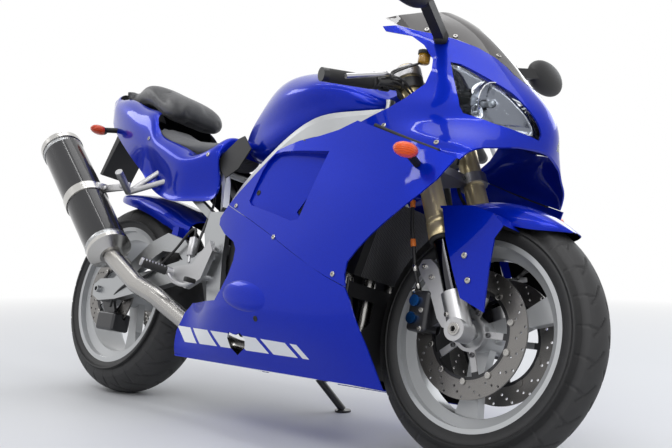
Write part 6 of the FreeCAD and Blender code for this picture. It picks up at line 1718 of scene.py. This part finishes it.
# %% [markdown]
# ## Seams, boots, lugs and the silencer's bracket
# A soft strip closes the seam where the cowl laps behind the side panel. The mirrors get a rubber
# boot at the foot of their stalks, and the mudguard gets its lugs on the fork. A cast bracket hangs
# the silencer's strap on the passenger's footrest.

# %% Small mounts
SEAM = [(462, 240, 752), (495, 241, 739), (576, 243, 708), (640, 240, 686), (662, 237, 678)]
two_sided("seam_strips", [tube(SEAM, 5, 10, 4)], SOFT_RUBBER, "chassis")
STALK_ROOT, STALK_KNEE = Vector((520, -122, 1014)), Vector((560, -250, 1052))
stalk_way = (STALK_KNEE - STALK_ROOT).normalized()
boot = beam(STALK_ROOT - stalk_way * 9, STALK_ROOT + stalk_way * 12, 33, 33, UPRIGHT, 3, 0.25)
two_sided("mirror_boots", [boot], SOFT_RUBBER, "chassis")
lugs = [beam((648, -106, 452), (704, -126, 463), 14, 9, (0, 1, 0), 1.5),
        beam((662, -106, 408), (722, -126, 408), 14, 9, (0, 1, 0), 1.5)]
two_sided("fender_lugs", lugs, CAST_ALLOY, "steering")
bracket = [beam((-728, -205, 632), (-572, -205, 639), 9, 24),
           beam((-731, -228, 640), (-731, -186, 640), 22, 24, UPRIGHT, 3)]
bracket += [plug(8, 0, 6, (x, -209.5, z), (0, -1, 0), 6) for x, z in ((-606, 638), (-700, 634))]
add_piece("silencer_bracket", *joined(bracket), CAST_ALLOY, "chassis")

# %% [markdown]
# ## Floor and light
# A pale floor and soft lamps show the shape plainly, and three long thin lamps draw crisp lines along
# the clear coat. Far from the machine the floor turns into a plain white that only the camera, shiny
# metal and clear plastic see, and so does the sky, so the white background adds no light to the
# paint. Near the machine the floor stays a real floor and keeps the shadow.

# %% Room
FLOOR_REACH = 40.0
FADE_SLOPE, FADE_START = 0.05, 0.15
WHITE = (1, 1, 1)


def seen(look):
    """One for what the camera sees, straight or by way of metal or glass, and nothing for soft light."""
    path = look.node("ShaderNodeLightPath").socket.node.outputs
    rays = [Wire(look, path[name]) for name in ("Is Camera Ray", "Is Glossy Ray", "Is Transmission Ray")]
    return rays[0].math("MAXIMUM", rays[1]).math("MAXIMUM", rays[2])


def make_floor():
    mesh = bpy.data.meshes.new("floor")
    corners = [(x * FLOOR_REACH, y * FLOOR_REACH, 0) for x, y in ((-1, -1), (1, -1), (1, 1), (-1, 1))]
    mesh.from_pydata(corners, [], [(0, 1, 2, 3)])
    floor = bpy.data.objects.new("floor", mesh)
    bpy.context.scene.collection.objects.link(floor)
    look = Look("pale_floor")
    near = look.node("ShaderNodeBsdfPrincipled", {}, {"Base Color": (0.62, 0.63, 0.65), "Roughness": 0.55})
    far = look.node("ShaderNodeEmission", {}, {"Color": WHITE, "Strength": 1.0})
    x, y, _ = look.axes(look.place())
    away = ((x * x + y * y) * FADE_SLOPE - FADE_START).clamp()
    blend = look.node("ShaderNodeMixShader", {}, {0: away * seen(look), 1: near, 2: far})
    mesh.materials.append(look.finished(blend))


def area_lamp(name, place, target, size, power, colour=WHITE):
    """A soft rectangular lamp, in metres and watts, turned towards its target."""
    data = bpy.data.lights.new(name, "AREA")
    data.shape = "RECTANGLE"
    data.size, data.size_y = size
    data.energy = power
    data.color = colour
    lamp = bpy.data.objects.new(name, data)
    lamp.location = place
    lamp.rotation_euler = (Vector(target) - Vector(place)).to_track_quat("-Z", "Y").to_euler()
    bpy.context.scene.collection.objects.link(lamp)


def make_sky():
    """A soft grey light all round that is seen as plain white."""
    world = bpy.data.worlds.new("room")
    bpy.context.scene.world = world
    sky = Look.of_world(world)
    soft_light = sky.node("ShaderNodeBackground", {}, {"Color": (0.86, 0.87, 0.89), "Strength": 0.7})
    white = sky.node("ShaderNodeBackground", {}, {"Color": WHITE, "Strength": 1.0})
    both_skies = sky.node("ShaderNodeMixShader", {}, {0: seen(sky), 1: soft_light, 2: white})
    sky.node("ShaderNodeOutputWorld", {}, {"Surface": both_skies})


make_floor()
area_lamp("key_lamp", (2.8, -3.2, 4.2), (0, 0, 0.5), (3.2, 2.0), 62)
area_lamp("side_lamp", (-4.6, -1.4, 3.4), (-0.6, 0, 0.5), (2.4, 1.0), 30)
area_lamp("top_lamp", (0.2, 0.6, 4.2), (0, 0, 0.4), (4.0, 2.2), 42)
area_lamp("back_lamp", (0.6, 4.0, 2.4), (0.2, 0, 0.6), (3.6, 1.6), 40, (0.92, 0.96, 1.0))
area_lamp("high_strip", (0.6, -2.3, 3.1), (0, 0, 0.5), (4.6, 0.10), 16)
area_lamp("low_strip", (2.9, -2.2, 1.7), (0.3, 0, 0.6), (3.0, 0.08), 7)
area_lamp("top_strip", (0.2, -0.5, 3.6), (0.2, 0, 0.6), (4.6, 0.10), 16)
make_sky()
bpy.context.scene.view_settings.view_transform = "Standard"

# %% [markdown]
# ## Camera
# The camera stands low at the front right, where the photographer stood. Its place was solved from
# points of known size on the machine: the two wheels' outlines and the axle line. The picture was
# cut a little off centre, which the two shifts copy.

# %% Camera
CAMERA_FROM_AXLE = Vector((1.2328, -1.7971, 0.2610))
CAMERA_YAW, CAMERA_PITCH, CAMERA_ROLL = (math.radians(turn) for turn in (133.978, -0.949, 0.214))
PICTURE_WIDTH, PICTURE_HEIGHT = 672, 448
FOCAL_PIXELS = 933.87
MIDDLE_PIXEL = (330.4, 239.96)
SENSOR_WIDTH = 36


def make_camera():
    place = room(*FRONT_AXLE) + CAMERA_FROM_AXLE
    ahead = Vector((math.cos(CAMERA_YAW) * math.cos(CAMERA_PITCH),
                    math.sin(CAMERA_YAW) * math.cos(CAMERA_PITCH), math.sin(CAMERA_PITCH)))
    level = ahead.cross(Vector((0, 0, 1))).normalized()
    rise = level.cross(ahead)
    right = level * math.cos(CAMERA_ROLL) + rise * math.sin(CAMERA_ROLL)
    up = rise * math.cos(CAMERA_ROLL) - level * math.sin(CAMERA_ROLL)
    data = bpy.data.cameras.new("camera")
    data.sensor_width = SENSOR_WIDTH
    data.lens = FOCAL_PIXELS / PICTURE_WIDTH * SENSOR_WIDTH
    data.shift_x = (PICTURE_WIDTH / 2 - MIDDLE_PIXEL[0]) / PICTURE_WIDTH
    data.shift_y = (MIDDLE_PIXEL[1] - PICTURE_HEIGHT / 2) / PICTURE_WIDTH
    camera = bpy.data.objects.new("camera", data)
    turn = Matrix((right, up, -ahead)).transposed()
    camera.matrix_world = Matrix.Translation(place) @ turn.to_4x4()
    bpy.context.scene.collection.objects.link(camera)
    bpy.context.scene.camera = camera
    return camera


print("camera at", make_camera().location)

# %% [markdown]
# ## Last step
# The view layer is brought up to date once more.

# %% Last update
bpy.context.view_layer.update()
